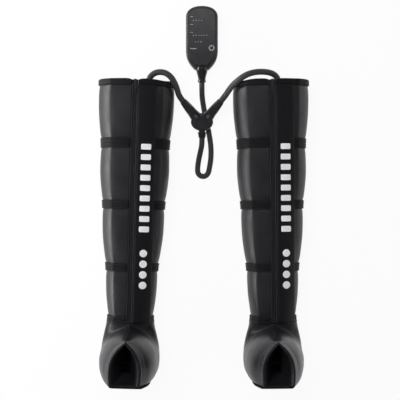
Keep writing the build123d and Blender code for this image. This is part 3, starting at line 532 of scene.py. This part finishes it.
def inflated(sheets):
    # each sheet is (grid in metres, held, wrapped): all are one cloth, that a low air pressure fills for
    # some frames while its held points stay; gives back how far each point went, capped, on the sheet's
    # own grid
    step = cloth["step"]
    points, faces, held, spans, start = [], [], [], [], 0
    for grid, hold, wrapped in sheets:
        coarse, fixed = grid[::step, ::step], hold[::step, ::step]
        rows, cols = coarse.shape[:2]
        index = start + np.arange(rows * cols).reshape(rows, cols)
        if wrapped:
            index = np.hstack([index, index[:, :1]])
        quads = np.stack([index[:-1, :-1], index[:-1, 1:], index[1:, 1:], index[1:, :-1]], 2).reshape(-1, 4)
        flat = coarse.reshape(-1, 3)
        a, b, c = (flat[quads[:, k] - start] for k in (0, 1, 2))
        outward = np.einsum("ij,ij->i", np.cross(b - a, c - a), a - flat.mean(0)).sum() > 0
        points.append(flat)
        faces.append(quads if outward else quads[:, ::-1])
        held.append(fixed.ravel())
        spans.append((start, rows, cols))
        start += rows * cols
    points, held = np.concatenate(points), np.concatenate(held)
    mesh = bpy.data.meshes.new("cloth")
    mesh.from_pydata(points.tolist(), [], np.concatenate(faces).tolist())
    holder = bpy.data.objects.new("cloth", mesh)
    bpy.context.scene.collection.objects.link(holder)
    group = holder.vertex_groups.new(name="held")
    group.add(np.flatnonzero(held).tolist(), 1.0, "REPLACE")
    modifier = holder.modifiers.new("cloth", "CLOTH")
    settings = modifier.settings
    settings.quality, settings.mass = cloth["quality"], cloth["mass"]
    settings.tension_stiffness = settings.compression_stiffness = cloth["stretch"]
    settings.shear_stiffness, settings.bending_stiffness = cloth["shear"], cloth["bending"]
    settings.vertex_group_mass = "held"
    settings.use_pressure, settings.uniform_pressure_force = True, cloth["pressure"]
    settings.effector_weights.gravity = 0.0
    modifier.collision_settings.use_collision = False
    modifier.point_cache.frame_start, modifier.point_cache.frame_end = 1, cloth["frames"]
    scene = bpy.context.scene
    for number in range(1, cloth["frames"] + 1):
        scene.frame_set(number)
    settled = holder.evaluated_get(bpy.context.evaluated_depsgraph_get()).to_mesh()
    after = np.zeros(len(points) * 3)
    settled.vertices.foreach_get("co", after)
    scene.frame_set(1)
    bpy.data.objects.remove(holder)
    moved = after.reshape(-1, 3) - points
    reach = np.linalg.norm(moved, axis=1, keepdims=True)
    moved *= np.minimum(1, cloth["cap"] * mm / np.maximum(reach, 1e-9))
    result = []
    for (grid, hold, wrapped), (first, rows, cols) in zip(sheets, spans):
        part = moved[first:first + rows * cols].reshape(rows, cols, 3)
        if wrapped:
            part = np.concatenate([part, part[:, :1]], 1)
        part = spread(part, grid.shape[0]).transpose(1, 0, 2)
        result.append(spread(part, grid.shape[1]).transpose(1, 0, 2))
    return result


def chamberSheet(low, high, seed):
    # the outer skin: with d the distance from the nearer band, it swells by 1 - e^(-d / reach) and is
    # pinched by e^(-d / reach), beside the soft edge and a low ripple; and where it is held: under the
    # bands, along the zip, beneath the placket and on the floor
    c = chambers
    y = np.linspace(low + c["gap"], high - c["gap"], c["rows"])[:, None]
    ends = np.linspace(-1, 1, c["columns"])[None, :]
    t = ends * frontEdge(y, c["edge"])
    lowSeam, highSeam = c["seams"]
    near = np.minimum(y - (low + lowSeam), (high - highSeam if high < c["top"] else high) - y)
    inside = np.maximum(near, 0)
    wave = ripple(t * c["round"], c["lengthwise"] * y, seed, *c["waves"])
    relief = (c["swell"] * (1 - np.exp(-inside / c["swellReach"]))
              - c["pinch"] * np.exp(-inside / c["pinchReach"])
              - c["tuck"] * (near < 0) + crease(y, t) - cloth["chamberIn"] * (near > 0)
              + c["wave"] * wave * smoothStep(0, c["waveReach"], near))
    points = legSurface(y, t, -relief)
    points[:, 0, 0], points[:, -1, 0] = -c["edge"], c["edge"]
    x = points[..., 0]
    front = points[..., 2] > legDepth(y) * c["front"]
    covered = front & (x > 0) & (x < placket["far"] + c["beyond"])
    return points, (near < c["seam"]) | (np.abs(ends) > c["zip"]) | (np.abs(t) < c["floor"]) | covered


# the pocket of the folded toe end, and the foot round it
pocket = {
    "mouth": (85.0, 131.0), "floor": 7.2, "depth": 84.0, "slot": 11.0, "slotTop": 122.0, "inward": 2.0,
    "top": 285.6, "base": 0.9, "mouthBelly": 0.35, "belly": 0.3, "grow": 1.2, "growInside": 0.6,
    "floorRise": 26.0, "powers": (1.25, 1.4, 1.15), "cloth": 1.2,
}
foot = {
    "hinge": (170.0, 116.0), "reach": 5.0, "start": 176.0, "heelPower": 3.8, "low": 3.4, "wall": 12.0,
    "levels": (60.0, 120.0, 180.0, 235.0, 285.0), "widths": (192.0, 190.0, 177.0, 147.0, 95.0),
    "shoulder": 278.0, "top": 286.0,  # where the side starts to round over, and the mouth's edge
    "soles": (126.0, 134.0, 132.0, 116.0, 88.0), "bellies": (50.0, 52.0, 52.0, 50.0, 45.0),
    "insteps": (166.0, 165.0, 158.0, 149.0, 138.0), "inward": (3.0, 4.0, 5.0, 5.0, 2.5),
    "ridge": 0.85, "ridgeTurn": 0.95, "heelPinch": 14.0, "rows": (4, 46, 64), "columns": 180,
    "held": 3, "fade": (12, 10), "sole": (0.2, 0.4),  # rows held, rows that fade, and shares of the girth
    "wave": 0.3, "waves": (6, 60, 150), "round": 300.0, "rowStep": 2.6,
}


def footSections():
    # each section has the middle of its base, the direction from base to crown, depth, half width, half
    # base, belly and point shares, and the shift towards the other foot: first down the ankle, then turned
    # about a hinge at the instep through a quarter turn along a superellipse heel, then up the toe box
    f = foot
    hingeY, hingeZ = f["hinge"]
    legRows, turnRows, toeRows = f["rows"]
    out = []
    for y in np.linspace(f["start"], hingeY, legRows, endpoint=False):
        half = float(halfWidth(y))
        out.append(((y, 0.0), (0.0, 1.0), legDepth(y), half, half * sleeve["base"], sleeve["belly"], 0.0,
                    0.0))
    first = smoothAlong(f["levels"], f["bellies"], hingeZ) - f["low"]
    crown = smoothAlong(f["levels"], f["insteps"], hingeZ) - f["low"]
    toeSole = smoothAlong(f["levels"], f["soles"], hingeZ) / 2
    toeShift = smoothAlong(f["levels"], f["inward"], hingeZ)
    for turn in np.linspace(0, pi / 2, turnRows, endpoint=False):
        d = np.array((-sin(turn), -cos(turn)))
        far = (abs(sin(turn) / (hingeY - f["low"])) ** f["heelPower"]
               + abs(cos(turn) / hingeZ) ** f["heelPower"]) ** (-1 / f["heelPower"])
        share = float(smoothStep(0, pi / 2, turn))
        depth = far - f["reach"]
        belly = sleeve["belly"] + (first / crown - sleeve["belly"]) * share
        wideAt = hingeY - sin(turn) * (far - belly * depth)
        half = float(halfWidth(wideAt))
        flat = half * sleeve["base"] * (1 - share) + toeSole * share - f["heelPinch"] * sin(2 * turn) ** 2
        base = np.array(f["hinge"]) + d * far
        ridge = f["ridge"] * float(smoothStep(0, f["ridgeTurn"], turn))
        out.append((tuple(base), tuple(-d), depth, half, flat, belly, ridge, toeShift * share))
    for z in np.linspace(hingeZ, f["shoulder"], toeRows):
        width, flat, belly, instep, shift = (float(smoothAlong(f["levels"], f[key], z)) for key in
                                             ("widths", "soles", "bellies", "insteps", "inward"))
        depth = instep - f["low"]
        out.append(((f["low"], z), (1.0, 0.0), depth, width / 2, flat / 2, (belly - f["low"]) / depth,
                    f["ridge"], shift))
    return out


def sectionPoints(section, t, inset):
    # the points of one section in the sleeve's frame
    (by, bz), (dy, dz), depth, half, flat, belly, point, shift = section
    x, h = bagSide(np.abs(t), flat - inset / 2, half - inset, depth * belly, depth - inset, inset, point)
    return np.stack([shift + np.sign(t) * x, by + dy * h, bz + dz * h], -1)


def mirrored(grid, side):
    # the right foot is the left one's mirror image, with its columns turned round so that it faces outward
    return grid if side == "left" else (grid * np.array((-1.0, 1.0, 1.0)))[:, ::-1]


def mouthRing(t, level, grow):
    # the arch of the mouth at a level, grown outward
    wide, high = pocket["mouth"]
    x, h = bagSide(np.abs(t), wide / 2 * pocket["base"] + grow, wide / 2 + grow,
                   high * pocket["mouthBelly"], high + grow, pocket["floor"] - grow, 1.0)
    return np.stack([pocket["inward"] + np.sign(t) * x, h, np.full_like(x, level)], -1)


def toeEnd(t):
    # from the last section a quarter round leads in and up to the mouth's edge, and on down inside it
    f = foot
    lip = sectionPoints(footSections()[-1], t, 0.0)
    rings = []
    for turn in np.linspace(0, pi / 2, 12)[1:]:
        share = 1 - cos(turn)
        ring = lip * (1 - share) + mouthRing(t, 0.0, pocket["grow"]) * share
        ring[:, 2] = f["shoulder"] + (f["top"] - f["shoulder"]) * sin(turn)
        rings.append(ring)
    return rings + [mouthRing(t, f["top"] - down, pocket["growInside"]) for down in (1.0, 6.0)]


def footSheet(seed):
    # the outer skin from the ankle to the toe end, with a low ripple away from the sole, and where it is
    # held: ankle, toe end and sole
    f = foot
    t = np.linspace(-1, 1, f["columns"], endpoint=False)
    points = np.stack([sectionPoints(s, t, 0.0) for s in footSections()])
    rows = np.arange(len(points))[:, None]
    last = len(points) - 1
    held = ((rows < f["rows"][0] + f["held"]) | (rows > last - f["held"])
            | (np.abs(t)[None, :] < f["sole"][0]))
    soft = smoothStep(0, f["fade"][0], rows - f["rows"][0]) * smoothStep(0, f["fade"][1], last - rows)
    aside = smoothStep(*f["sole"], np.abs(t))
    wave = ripple(t[None, :] * f["round"], rows * f["rowStep"], seed, *f["waves"]) * soft * aside
    outward = points - np.stack([sectionPoints(s, t, 1.0) for s in footSections()])
    lift = f["wave"] * wave - cloth["footIn"] * soft * aside
    return points + outward * lift[..., None], held


# the soft skins, all filled with air in one go
sheets, places = [], []
for number, side in enumerate(sides):
    tops = [middle for middle, width in chambers["bands"][1:]] + [chambers["top"]]
    for k, (name, (low, width), high) in enumerate(zip(chambers["names"], chambers["bands"], tops)):
        points, held = chamberSheet(low, high, 11 + 7 * k + 3 * number)
        sheets.append((place(points, side), held, False))
        places.append((side, name, low, high))
    points, held = footSheet(51 + number)
    sheets.append((place(mirrored(points, side), side), held if side == "left" else held[:, ::-1], True))
    places.append((side, "foot", 0.0, 0.0))
travel = inflated(sheets)
print("skins inflated, furthest", [round(float(np.abs(part).max()) / mm, 1) for part in travel])

for (side, name, low, high), (grid, held, wrapped), moved in zip(places, sheets, travel):
    skin = grid + moved
    skin[..., 2] = np.maximum(skin[..., 2], 0.1 * mm)
    if name == "foot":
        t = np.linspace(-1, 1, foot["columns"], endpoint=False)
        inner = toeEnd(t) + [sectionPoints(s, t, foot["wall"]) for s in footSections()[-9::-6]]
        closed = np.concatenate([skin, place(mirrored(np.stack(inner), side), side)])
        piece = addPiece(f"{side}FootChamber", closed, footNylon,
                         replaces=(f"{side}_foot_chamber",), wrap="both")
    else:
        count = chambers["backRows"]
        back = np.linspace(high - chambers["gap"], low + chambers["gap"], count)
        section = np.stack([back, np.full(count, sleeve["wall"])], 1)
        inner = legWrap(section, chambers["columns"], chambers["edge"])
        piece = addPiece(f"{side}{name.title()}Chamber", np.concatenate([skin, place(inner, side)]), nylon,
                         replaces=(f"{side}_{name}_chamber",), wrap="rows")
print("air chambers and feet made")

# webbing bands over the seams, and their stitching
band = {
    "stand": 0.6, "depth": 3.0, "edge": 10.3, "stitch": 3.2, "stitchPitch": 4.6, "stitchInset": 3.0,
    "groove": 1.5, "grooveInset": 5.5, "grooveWidth": 0.8,
}
ankle = {"middle": 178.5, "width": 20.0}


def sample(at, run, rows):
    # rows of numbers read off at places along a run, on straight lines between them
    return np.stack([np.interp(at, run, column) for column in rows.T], 1)


def evenly(path, pitch):
    # points at equal steps of length along a path, with the direction at each
    run = np.concatenate([[0], np.cumsum(np.linalg.norm(np.diff(path, axis=0), axis=1))])
    steps = np.arange(pitch / 2, run[-1], pitch)
    return sample(steps, run, path), sample(steps + 0.5, run, path) - sample(steps - 0.5, run, path)


def turned(points, side):
    # directions, not places: only the lean is applied
    return place(points, side) - place(np.zeros(3), side)


def stitchRow(paths, outward, side, name, pitch, length):
    # a row of thread stitches along each path of points in the sleeve's frame
    centres, ways, ups = [], [], []
    for path, out in zip(paths, outward):
        points, way = evenly(path, pitch)
        centres.append(points)
        ways.append(way)
        ups.append(sample(np.linspace(0, 1, len(points)), np.linspace(0, 1, len(out)), out))
    shape, faces = capsule(length * mm, 0.9 * mm, 0.7 * mm)
    return scatter(name, shape, faces, place(np.concatenate(centres), side),
                   turned(np.concatenate(ways), side), turned(np.concatenate(ups), side), thread)


def outwardOf(y, t):
    # the surface's outward direction: from a point 1 mm deeper to the point
    return legSurface(y, t, 0.0) - legSurface(y, t, 1.0)


def bandSection(middle, width):
    # the rounded strip with a narrow groove along each edge and one along its middle, on its outer face
    across = np.linspace(-1, 1, 41) * (width / 2 - 1.0)
    outer = np.full_like(across, -band["stand"])
    for groove in (-width / 2 + band["grooveInset"], 0.0, width / 2 - band["grooveInset"]):
        outer += band["groove"] * np.exp(-((across - groove) / band["grooveWidth"]) ** 2)
    top = np.stack([middle + across, outer], 1)
    low = band["depth"] - band["stand"]
    rest = [(middle + width / 2 - 0.2, outer[-1] + 0.8), (middle + width / 2 - 0.2, low),
            (middle - width / 2 + 0.2, low), (middle - width / 2 + 0.2, outer[0] + 0.8)]
    return np.concatenate([top, np.array(rest)])


for side in sides:
    rings = [(ankle["middle"], ankle["width"])] + list(chambers["bands"][1:])
    for k, (middle, width) in enumerate(rings):
        section = bandSection(middle, width)
        name = ("ankle", "calf", "knee", "thigh")[k]
        grid = place(legWrap(section, 180, band["edge"], crease), side)
        addPiece(f"{side}{name.title()}Band", grid, webbing,
                 replaces=(f"{side}_seam_bands",), wrap="rows")
        t = np.linspace(-0.97, 0.97, 400)
        paths, outs = [], []
        for edge in (-1, 1):
            y = np.full_like(t, middle + edge * (width / 2 - band["stitchInset"]))
            paths.append(legSurface(y, t, -band["stand"] - crease(y, t)))
            outs.append(outwardOf(y, t))
        stitchRow(paths, outs, side, f"{side}{name.title()}Stitches", band["stitchPitch"], band["stitch"])
print("bands sewn")

# the rim's binding, and the lining inside the chambers
binding = {
    "height": 20.0, "stand": 2.0, "inner": 18.0, "corner": 4.5, "edge": 10.3, "drop": 1.0,
    "notch": 5.0, "notchFrom": 10.0, "notchReach": 7.0, "front": 60.0,  # a dip by the zip
    "rest": 92.0, "sag": 3.5, "sagWidth": 22.0,  # where the hose lies across the rim, and how it presses it
    "ripple": 0.7, "wave": 0.9, "round": 330.0, "stitchRise": 3.5,
}
lining = {"high": 914.0, "low": 188.0, "rows": 60, "near": 0.4, "far": 2.3, "lift": 0.8, "ripple": 0.5}
for side in sides:
    b = binding
    section = roundedBar(sleeve["length"] - b["height"] / 2, b["height"], -b["stand"], b["inner"],
                         b["corner"], 7)
    seed = 31 if side == "left" else 37
    grid = legWrap(section, 220, b["edge"], lambda y, t: crease(y, t) + b["ripple"] * ripple(
        t * b["round"], y, seed, 5, 40, 120))
    x, front = grid[..., 0], grid[..., 2] > b["front"]
    rest = b["rest"] if side == "left" else -b["rest"]
    dip = (b["notch"] * np.exp(-(np.abs(x) - b["notchFrom"]) / b["notchReach"]) * front
           + b["sag"] * np.exp(-((x - rest) / b["sagWidth"]) ** 2) * front)
    wave = b["wave"] * ripple(x, grid[..., 2], seed + 2, 4, 90, 200)
    upper = smoothStep(sleeve["length"] - b["height"], sleeve["length"], grid[..., 1])
    grid[..., 1] += upper * (wave - dip - b["drop"])
    addPiece(f"{side}RimBinding", place(grid, side), bindingCloth,
             replaces=(f"{side}_rim_binding",), wrap="rows")
    t = np.linspace(-0.97, 0.97, 400)
    y = np.full_like(t, sleeve["length"] - b["height"] + b["stitchRise"])
    stitchRow([legSurface(y, t, -b["stand"])], [outwardOf(y, t)], side, f"{side}BindingStitches",
              band["stitchPitch"], band["stitch"])
    down = np.linspace(lining["high"], lining["low"], lining["rows"])
    y = np.concatenate([down, down[::-1]])
    inset = sleeve["wall"] + np.repeat((lining["near"], lining["far"]), lining["rows"])
    seed += 10
    grid = legWrap(np.stack([y, inset], 1), 160, b["edge"], lambda y, t: -lining["lift"] - lining["ripple"]
                   * ripple(t * b["round"], y, seed, 5, 50, 150))
    addPiece(f"{side}LegLining", place(grid, side), knit, replaces=(f"{side}_leg_liner",),
             wrap="rows")
print("rims bound and lined")

zipper = {
    "origin": (937.0, 136.4), "climb": atan2(28.0, 760.0), "length": 762.0, "halfWidth": 9.7,
    "tape": 1.6, "topGap": 5.0, "flap": 3.4, "flapEdge": 6.3, "bed": 3.4,
    "pitch": 2.6, "toothLength": 1.9, "toothWidth": 3.8, "toothHeight": 1.8,
    "toothSet": 1.1, "toothLift": 1.2,  # a tooth's distance from the middle line, and its height on the tape
}


def onZip(x, along, up):
    # from the zip's plane to the sleeve's frame: along is 0 at the rim and falls towards the foot
    y0, z0 = zipper["origin"]
    c, s = cos(zipper["climb"]), sin(zipper["climb"])
    return np.stack(np.broadcast_arrays(x, y0 + along * c - up * s, z0 + along * s + up * c), -1)


for side in sides:
    z = zipper
    half, edge, flap = z["halfWidth"], z["flapEdge"], z["flap"]
    # the tape's section from left to right: raised flap, groove, chain bed, groove, flap
    top = [(-half, 0.3), (-half + 0.3, flap - 0.4), (-half + 0.9, flap), (-edge - 0.8, flap + 0.1),
           (-edge, flap - 0.5), (-edge + 0.1, 0.1), (-z["bed"] - 0.1, 0.0), (-z["bed"], 1.2)]
    section = top + [(-x, h) for x, h in reversed(top)] + [(half, -z["tape"]), (-half, -z["tape"])]
    section = np.array(section)
    along = np.linspace(-z["topGap"], -z["length"], 120)[:, None]
    grid = onZip(section[None, :, 0], along, section[None, :, 1])
    addPiece(f"{side}ZipTape", place(grid, side), flapCloth, replaces=(f"{side}_zip_tape",),
             smooth=False)
    steps = np.arange(-z["topGap"] - 2, -z["length"] + 2, -z["pitch"])
    centres, ways = [], []
    for k, sign in enumerate((-1, 1)):
        y = steps + k * z["pitch"] / 2
        centres.append(onZip(sign * z["toothSet"], y, z["toothLift"]))
        ways.append(onZip(1.0, y, 0.0) - onZip(0.0, y, 0.0))
    shape, faces = capsule(z["toothWidth"] * mm, z["toothLength"] * mm, z["toothHeight"] * mm)
    up = onZip(0.0, 0.0, 1.0) - onZip(0.0, 0.0, 0.0)
    centres = np.concatenate(centres)
    scatter(f"{side}ZipTeeth", shape, faces, place(centres, side), turned(np.concatenate(ways), side),
            turned(np.broadcast_to(up, centres.shape), side), coil)
print("zips made")


def frontPoint(x, y, inset):
    # the point of the front at a distance x from the zip: its height comes from a fine table of a bag of
    # half width and depth 1, stretched between the widest place and the crown
    half = halfWidth(y) - inset
    depth = legDepth(y)
    share, height = bagSide(np.linspace(0.5, 1, 200), sleeve["base"], 1.0, sleeve["belly"], 1.0, 0.0)
    rise = np.interp(np.abs(x) / half, share[::-1], height[::-1])
    belly = depth * sleeve["belly"]
    z = belly + (depth - inset - belly) * (rise - sleeve["belly"]) / (1 - sleeve["belly"])
    return np.stack(np.broadcast_arrays(x, y, z), -1)


def finer(outline, longest):
    # a closed outline with points added on its long edges, so that it can follow a curved surface
    points = []
    for a, b in zip(outline, np.roll(outline, -1, axis=0)):
        count = max(1, int(np.ceil(np.linalg.norm(b - a) / longest)))
        points.append(a + (b - a) * np.linspace(0, 1, count, endpoint=False)[:, None])
    return np.concatenate(points)


def placketGrid():
    # the rounded section laid along the front, its free edge in a low sine wave
    p = placket
    section = finer(roundedBar(0, p["far"] - p["near"], 0, p["thickness"], p["corner"], 5), p["longest"])
    x = (p["near"] + p["far"]) / 2 + section[:, 0][None, :]
    level = -p["gap"] - p["thickness"] + section[:, 1][None, :]
    y = np.linspace(p["low"], p["high"], p["rows"])[:, None]
    wave = p["wave"] * np.sin(y / p["waveTurn"]) * np.exp(-np.abs(x - p["far"]) / p["waveReach"])
    return frontPoint(x, y + 0 * x, level + wave)


prints = {
    "middle": 39.0, "lift": 0.15, "height": 0.35,
    "rings": (0.02, 0.3, 0.6, 0.85, 0.97, 1.0, 1.0), "rise": (1, 1, 1, 1, 1, 0.6, 0),
    # low and high end, count, width, height as a share of the pitch, and the power that rounds the corners
    "Bar": (450.0, 740.0, 9, 31.0, 0.56, 0.25), "Dot": (273.0, 407.0, 4, 23.45, 0.7, 1.0),
}


def rounded(cx, cy, width, height, powers, shares, count):
    # rings of a superellipse at shares of its size: the cosine and the sine of the angle, each raised to a
    # power with its sign kept
    angle = np.linspace(0, 2 * pi, count, endpoint=False)[None, :]
    waves = zip((np.cos(angle), np.sin(angle)), powers)
    across, along = (np.sign(wave) * np.abs(wave) ** power for wave, power in waves)
    ring = np.array(shares)[:, None]
    return cx + width / 2 * ring * across, cy + height / 2 * ring * along


for side in sides:
    addPiece(f"{side}ZipPlacket", place(placketGrid(), side), plainWeave,
             replaces=(f"{side}_zip_placket",))
    paths, outs = [], []
    face = -placket["gap"] - placket["thickness"]
    y = np.linspace(placket["low"] + 4, placket["high"] - 4, 200)
    for x in (placket["near"] + 3.0, placket["far"] - 3.0):
        paths.append(frontPoint(np.full_like(y, x), y, face))
        outs.append(np.tile((0.0, 0.0, 1.0), (len(y), 1)))
    stitchRow(paths, outs, side, f"{side}PlacketStitches", 5.0, 3.4)
    for kind in ("Bar", "Dot"):
        low, high, count, width, share, power = prints[kind]
        pitch = (high - low) / count
        for k in range(count):
            x, y = rounded(prints["middle"], low + (k + 0.5) * pitch, width, pitch * share, (power, power),
                           prints["rings"], 48)
            lift = np.array(prints["rise"])[:, None] * prints["height"] + prints["lift"]
            addPiece(f"{side}Print{kind}{k + 1}", place(frontPoint(x, y, face - lift), side), ink)
print("plackets printed")


def pocketGrid():
    # the mouth's arch shrinks to a narrow upright slot as it goes down, and its floor rises, each by a
    # power of the share of the way
    p = pocket
    narrow, rise, sink = p["powers"]
    t = np.linspace(-1, 1, 120, endpoint=False)
    rows = []
    for share in np.linspace(0, 1, 40):
        half = p["slot"] + (p["mouth"][0] / 2 - p["slot"]) * (1 - share) ** narrow
        floor = p["floor"] + p["floorRise"] * share ** rise
        top = p["mouth"][1] - (p["mouth"][1] - p["slotTop"]) * share
        level = p["top"] - p["depth"] * share ** sink
        x, h = bagSide(np.abs(t), half * p["base"], half, floor + (top - floor) * p["belly"], top, floor, 1.0)
        rows.append(np.stack([p["inward"] + np.sign(t) * x, h, np.full_like(x, level)], -1))
    return np.stack(rows)


for side in sides:
    piece = addPiece(f"{side}ToeGusset", place(mirrored(pocketGrid(), side), side), nylon,
                     replaces=(f"{side}_toe_gusset",), capped=False)
    shell = piece.modifiers.new("shell", "SOLIDIFY")
    shell.thickness = pocket["cloth"] * mm
    shell.offset = -1.0
print("toe ends folded")

sole = {
    "levels": (10.0, 120.0, 235.0, 285.0), "halves": (49.0, 66.0, 62.0, 48.0),
    "inward": (0.0, 7.0, 10.0, 8.0), "thickness": 3.0, "rows": 90, "powers": (0.35, 0.5),
    "round": 22.0, "roundShare": 0.9, "toeSpare": 14.0,  # the rounded heel and toe, and how much less the toe
}
for side in sides:
    level = np.linspace(sole["levels"][0], sole["levels"][-1], sole["rows"])
    toEnd = np.minimum(level - level[0], level[-1] - level + sole["toeSpare"])
    missing = np.maximum(sole["round"] - toEnd, 0)
    shrink = sole["round"] - np.sqrt(np.maximum(sole["round"] ** 2 - missing ** 2, 0.01))
    half = smoothAlong(sole["levels"], sole["halves"], level) - shrink * sole["roundShare"]
    shift = smoothAlong(sole["levels"], sole["inward"], level)[:, None]
    across, up = rounded(0, 1, 2, 2, sole["powers"], (1,), 40)
    grid = np.stack(np.broadcast_arrays(shift + half[:, None] * across, sole["thickness"] / 2 * up,
                                        level[:, None]), -1)
    addPiece(f"{side}SolePanel", place(mirrored(grid, side), side), soleRubber,
             replaces=(f"{side}_sole_panel",))
print("soles made")

# the rigid pieces keep their CAD meshes and get a finish each
finishes = (
    (caseAbs, "front_shell back_shell"),
    (glossAbs, "face_panel start_button time_key zone_key level_key"),
    (lens, "button_ring indicator_windows"),
    (board, "main_board"),
    (cell, "battery_pack"),
    (pumpNylon, "pump_body valve_manifold"),
    (steel, "pump_motor case_screws"),
    (brass, "solenoid_valves"),
    (footRubber, "rubber_feet"),
    (gland, "pump_gland hub_gland"),
    (hubPlastic, "hub_shell_top hub_shell_bottom plug_left plug_right"),
    (latchNylonWithPaintedHighlight, "latch_left latch_right"),
    (inletPlastic, "charge_socket left_air_inlet right_air_inlet"),
    (zinc, "left_zip_slider right_zip_slider left_zip_pull right_zip_pull"),
)
for material, names in finishes:
    for name in names.split():
        data = nodes[name].data
        data.materials.clear()
        data.materials.append(material)
print("rigid pieces finished")

# plain bars on the pump's face, each a thin superellipse with a small upright edge
marks = {
    "centre": (-5.9, 485.8), "top": 55.0, "gap": 0.02, "proud": 0.5, "height": 0.12,
    "rings": (0.02, 0.6, 1.0, 1.0), "rise": (1, 1, 1, 0), "powers": (0.3, 0.5),
    # x, y, length and width, from the case's centre, and the body that carries the bar
    "bars": ((-32.0, 68.0, 9.6, 2.0, "time_key"), (-32.0, 42.6, 8.6, 1.8, "zone_key"),
             (-32.0, 17.3, 8.6, 1.8, "level_key"), (-27.0, -34.5, 21.0, 2.8, "root")),
}
for k, (x, y, length, width, body) in enumerate(marks["bars"]):
    base = marks["top"] + marks["gap"] + (0.0 if body == "root" else marks["proud"])
    x, y = rounded(marks["centre"][0] + x, marks["centre"][1] + y, length, width, marks["powers"],
                   marks["rings"], 32)
    lift = np.array(marks["rise"])[:, None] * marks["height"]
    grid = np.stack(np.broadcast_arrays(x, y, base + lift), -1)
    addPiece(f"faceMark{k + 1}", grid * mm, lens, body)
print("pump's face marked")


def seenAs(tree, kinds):
    # 1 for rays of the named kinds and 0 for the others: the largest of the light path's outputs
    rays = addNode(tree, "LightPath")
    seen = rays.outputs[f"Is {kinds[0]} Ray"]
    for kind in kinds[1:]:
        seen = addNode(tree, "Math", {"operation": "MAXIMUM"}, _0=seen,
                       _1=rays.outputs[f"Is {kind} Ray"]).outputs[0]
    return seen


# a pale floor that the camera sees nearly white, while it bounces light as a matt surface
stage = {"size": 6.0, "drop": 0.3, "colour": "F2F2F2", "rough": 0.9, "specular": 0.1, "cameraShare": 0.93}
bpy.ops.mesh.primitive_plane_add(size=stage["size"], location=(0, 0, -stage["drop"] * mm))
floor = bpy.context.object
floor.name = "floor"
floorMaterial, tree, surface = newMaterial("paleFloor", {
    "Base Color": linear(stage["colour"]), "Roughness": stage["rough"],
    "Specular IOR Level": stage["specular"]})
glow = addNode(tree, "Emission", {"Color": (1, 1, 1, 1), "Strength": 1.0})
share = addNode(tree, "Math", {"operation": "MULTIPLY"},
                _0=seenAs(tree, ("Camera", "Transmission", "Glossy")))
share.inputs[1].default_value = stage["cameraShare"]
blend = addNode(tree, "MixShader", {}, _0=share.outputs[0], _1=surface.outputs[0],
                _2=glow.outputs[0])
tree.links.new(blend.outputs[0], tree.nodes["Material Output"].inputs["Surface"])
floor.data.materials.append(floorMaterial)

# the studio's walls are bright near the floor and its ceiling is dark
studio = {"top": 0.55, "walls": 0.6, "ceiling": 0.12}
world = bpy.data.worlds.new("studio")
world.use_nodes = True
bpy.context.scene.world = world
tree = world.node_tree
ambient = tree.nodes["Background"]
ambient.inputs["Color"].default_value = (1, 1, 1, 1)
sky = addNode(tree, "TexCoord")
way = addNode(tree, "SeparateXYZ", {}, Vector=sky.outputs["Generated"])
wall = addNode(tree, "MapRange", {"From Min": 0.0, "From Max": studio["top"],
                                  "To Min": studio["walls"], "To Max": studio["ceiling"]},
               Value=way.outputs["Z"])
tree.links.new(wall.outputs[0], ambient.inputs["Strength"])
white = addNode(tree, "Background", {"Color": (1, 1, 1, 1), "Strength": 1.0})
blend = addNode(tree, "MixShader", {}, _0=seenAs(tree, ("Camera",)), _1=ambient.outputs[0],
                _2=white.outputs[0])
tree.links.new(blend.outputs[0], tree.nodes["World Output"].inputs["Surface"])

lights = {
    # place, aim, width, height, power in watts, and whether glossy surfaces mirror it
    "leftStrip": ((-2.0, 0.0, 0.42), (0.0, 0.0, 0.1), 2.8, 0.7, 50.0, True),
    "rightStrip": ((2.0, 0.0, 0.42), (0.0, 0.0, 0.1), 2.8, 0.6, 5.0, True),
    "overhead": ((-0.7, 0.6, 2.4), (0.0, 0.0, 0.0), 1.6, 1.6, 46.0, False),
    "backSoft": ((0.0, 1.4, 2.8), (0.0, 0.45, 0.0), 1.2, 0.8, 4.5, True),
}
for name, (spot, aim, width, height, power, glossy) in lights.items():
    data = bpy.data.lights.new(name, "AREA")
    data.shape = "RECTANGLE"
    data.size, data.size_y, data.energy = width, height, power
    lamp = bpy.data.objects.new(name, data)
    lamp.location = spot
    lamp.rotation_euler = (Vector(aim) - Vector(spot)).to_track_quat("-Z", "Y").to_euler()
    lamp.visible_glossy = glossy
    bpy.context.scene.collection.objects.link(lamp)

bpy.context.scene.view_settings.view_transform = "Standard"
print("scene ready")
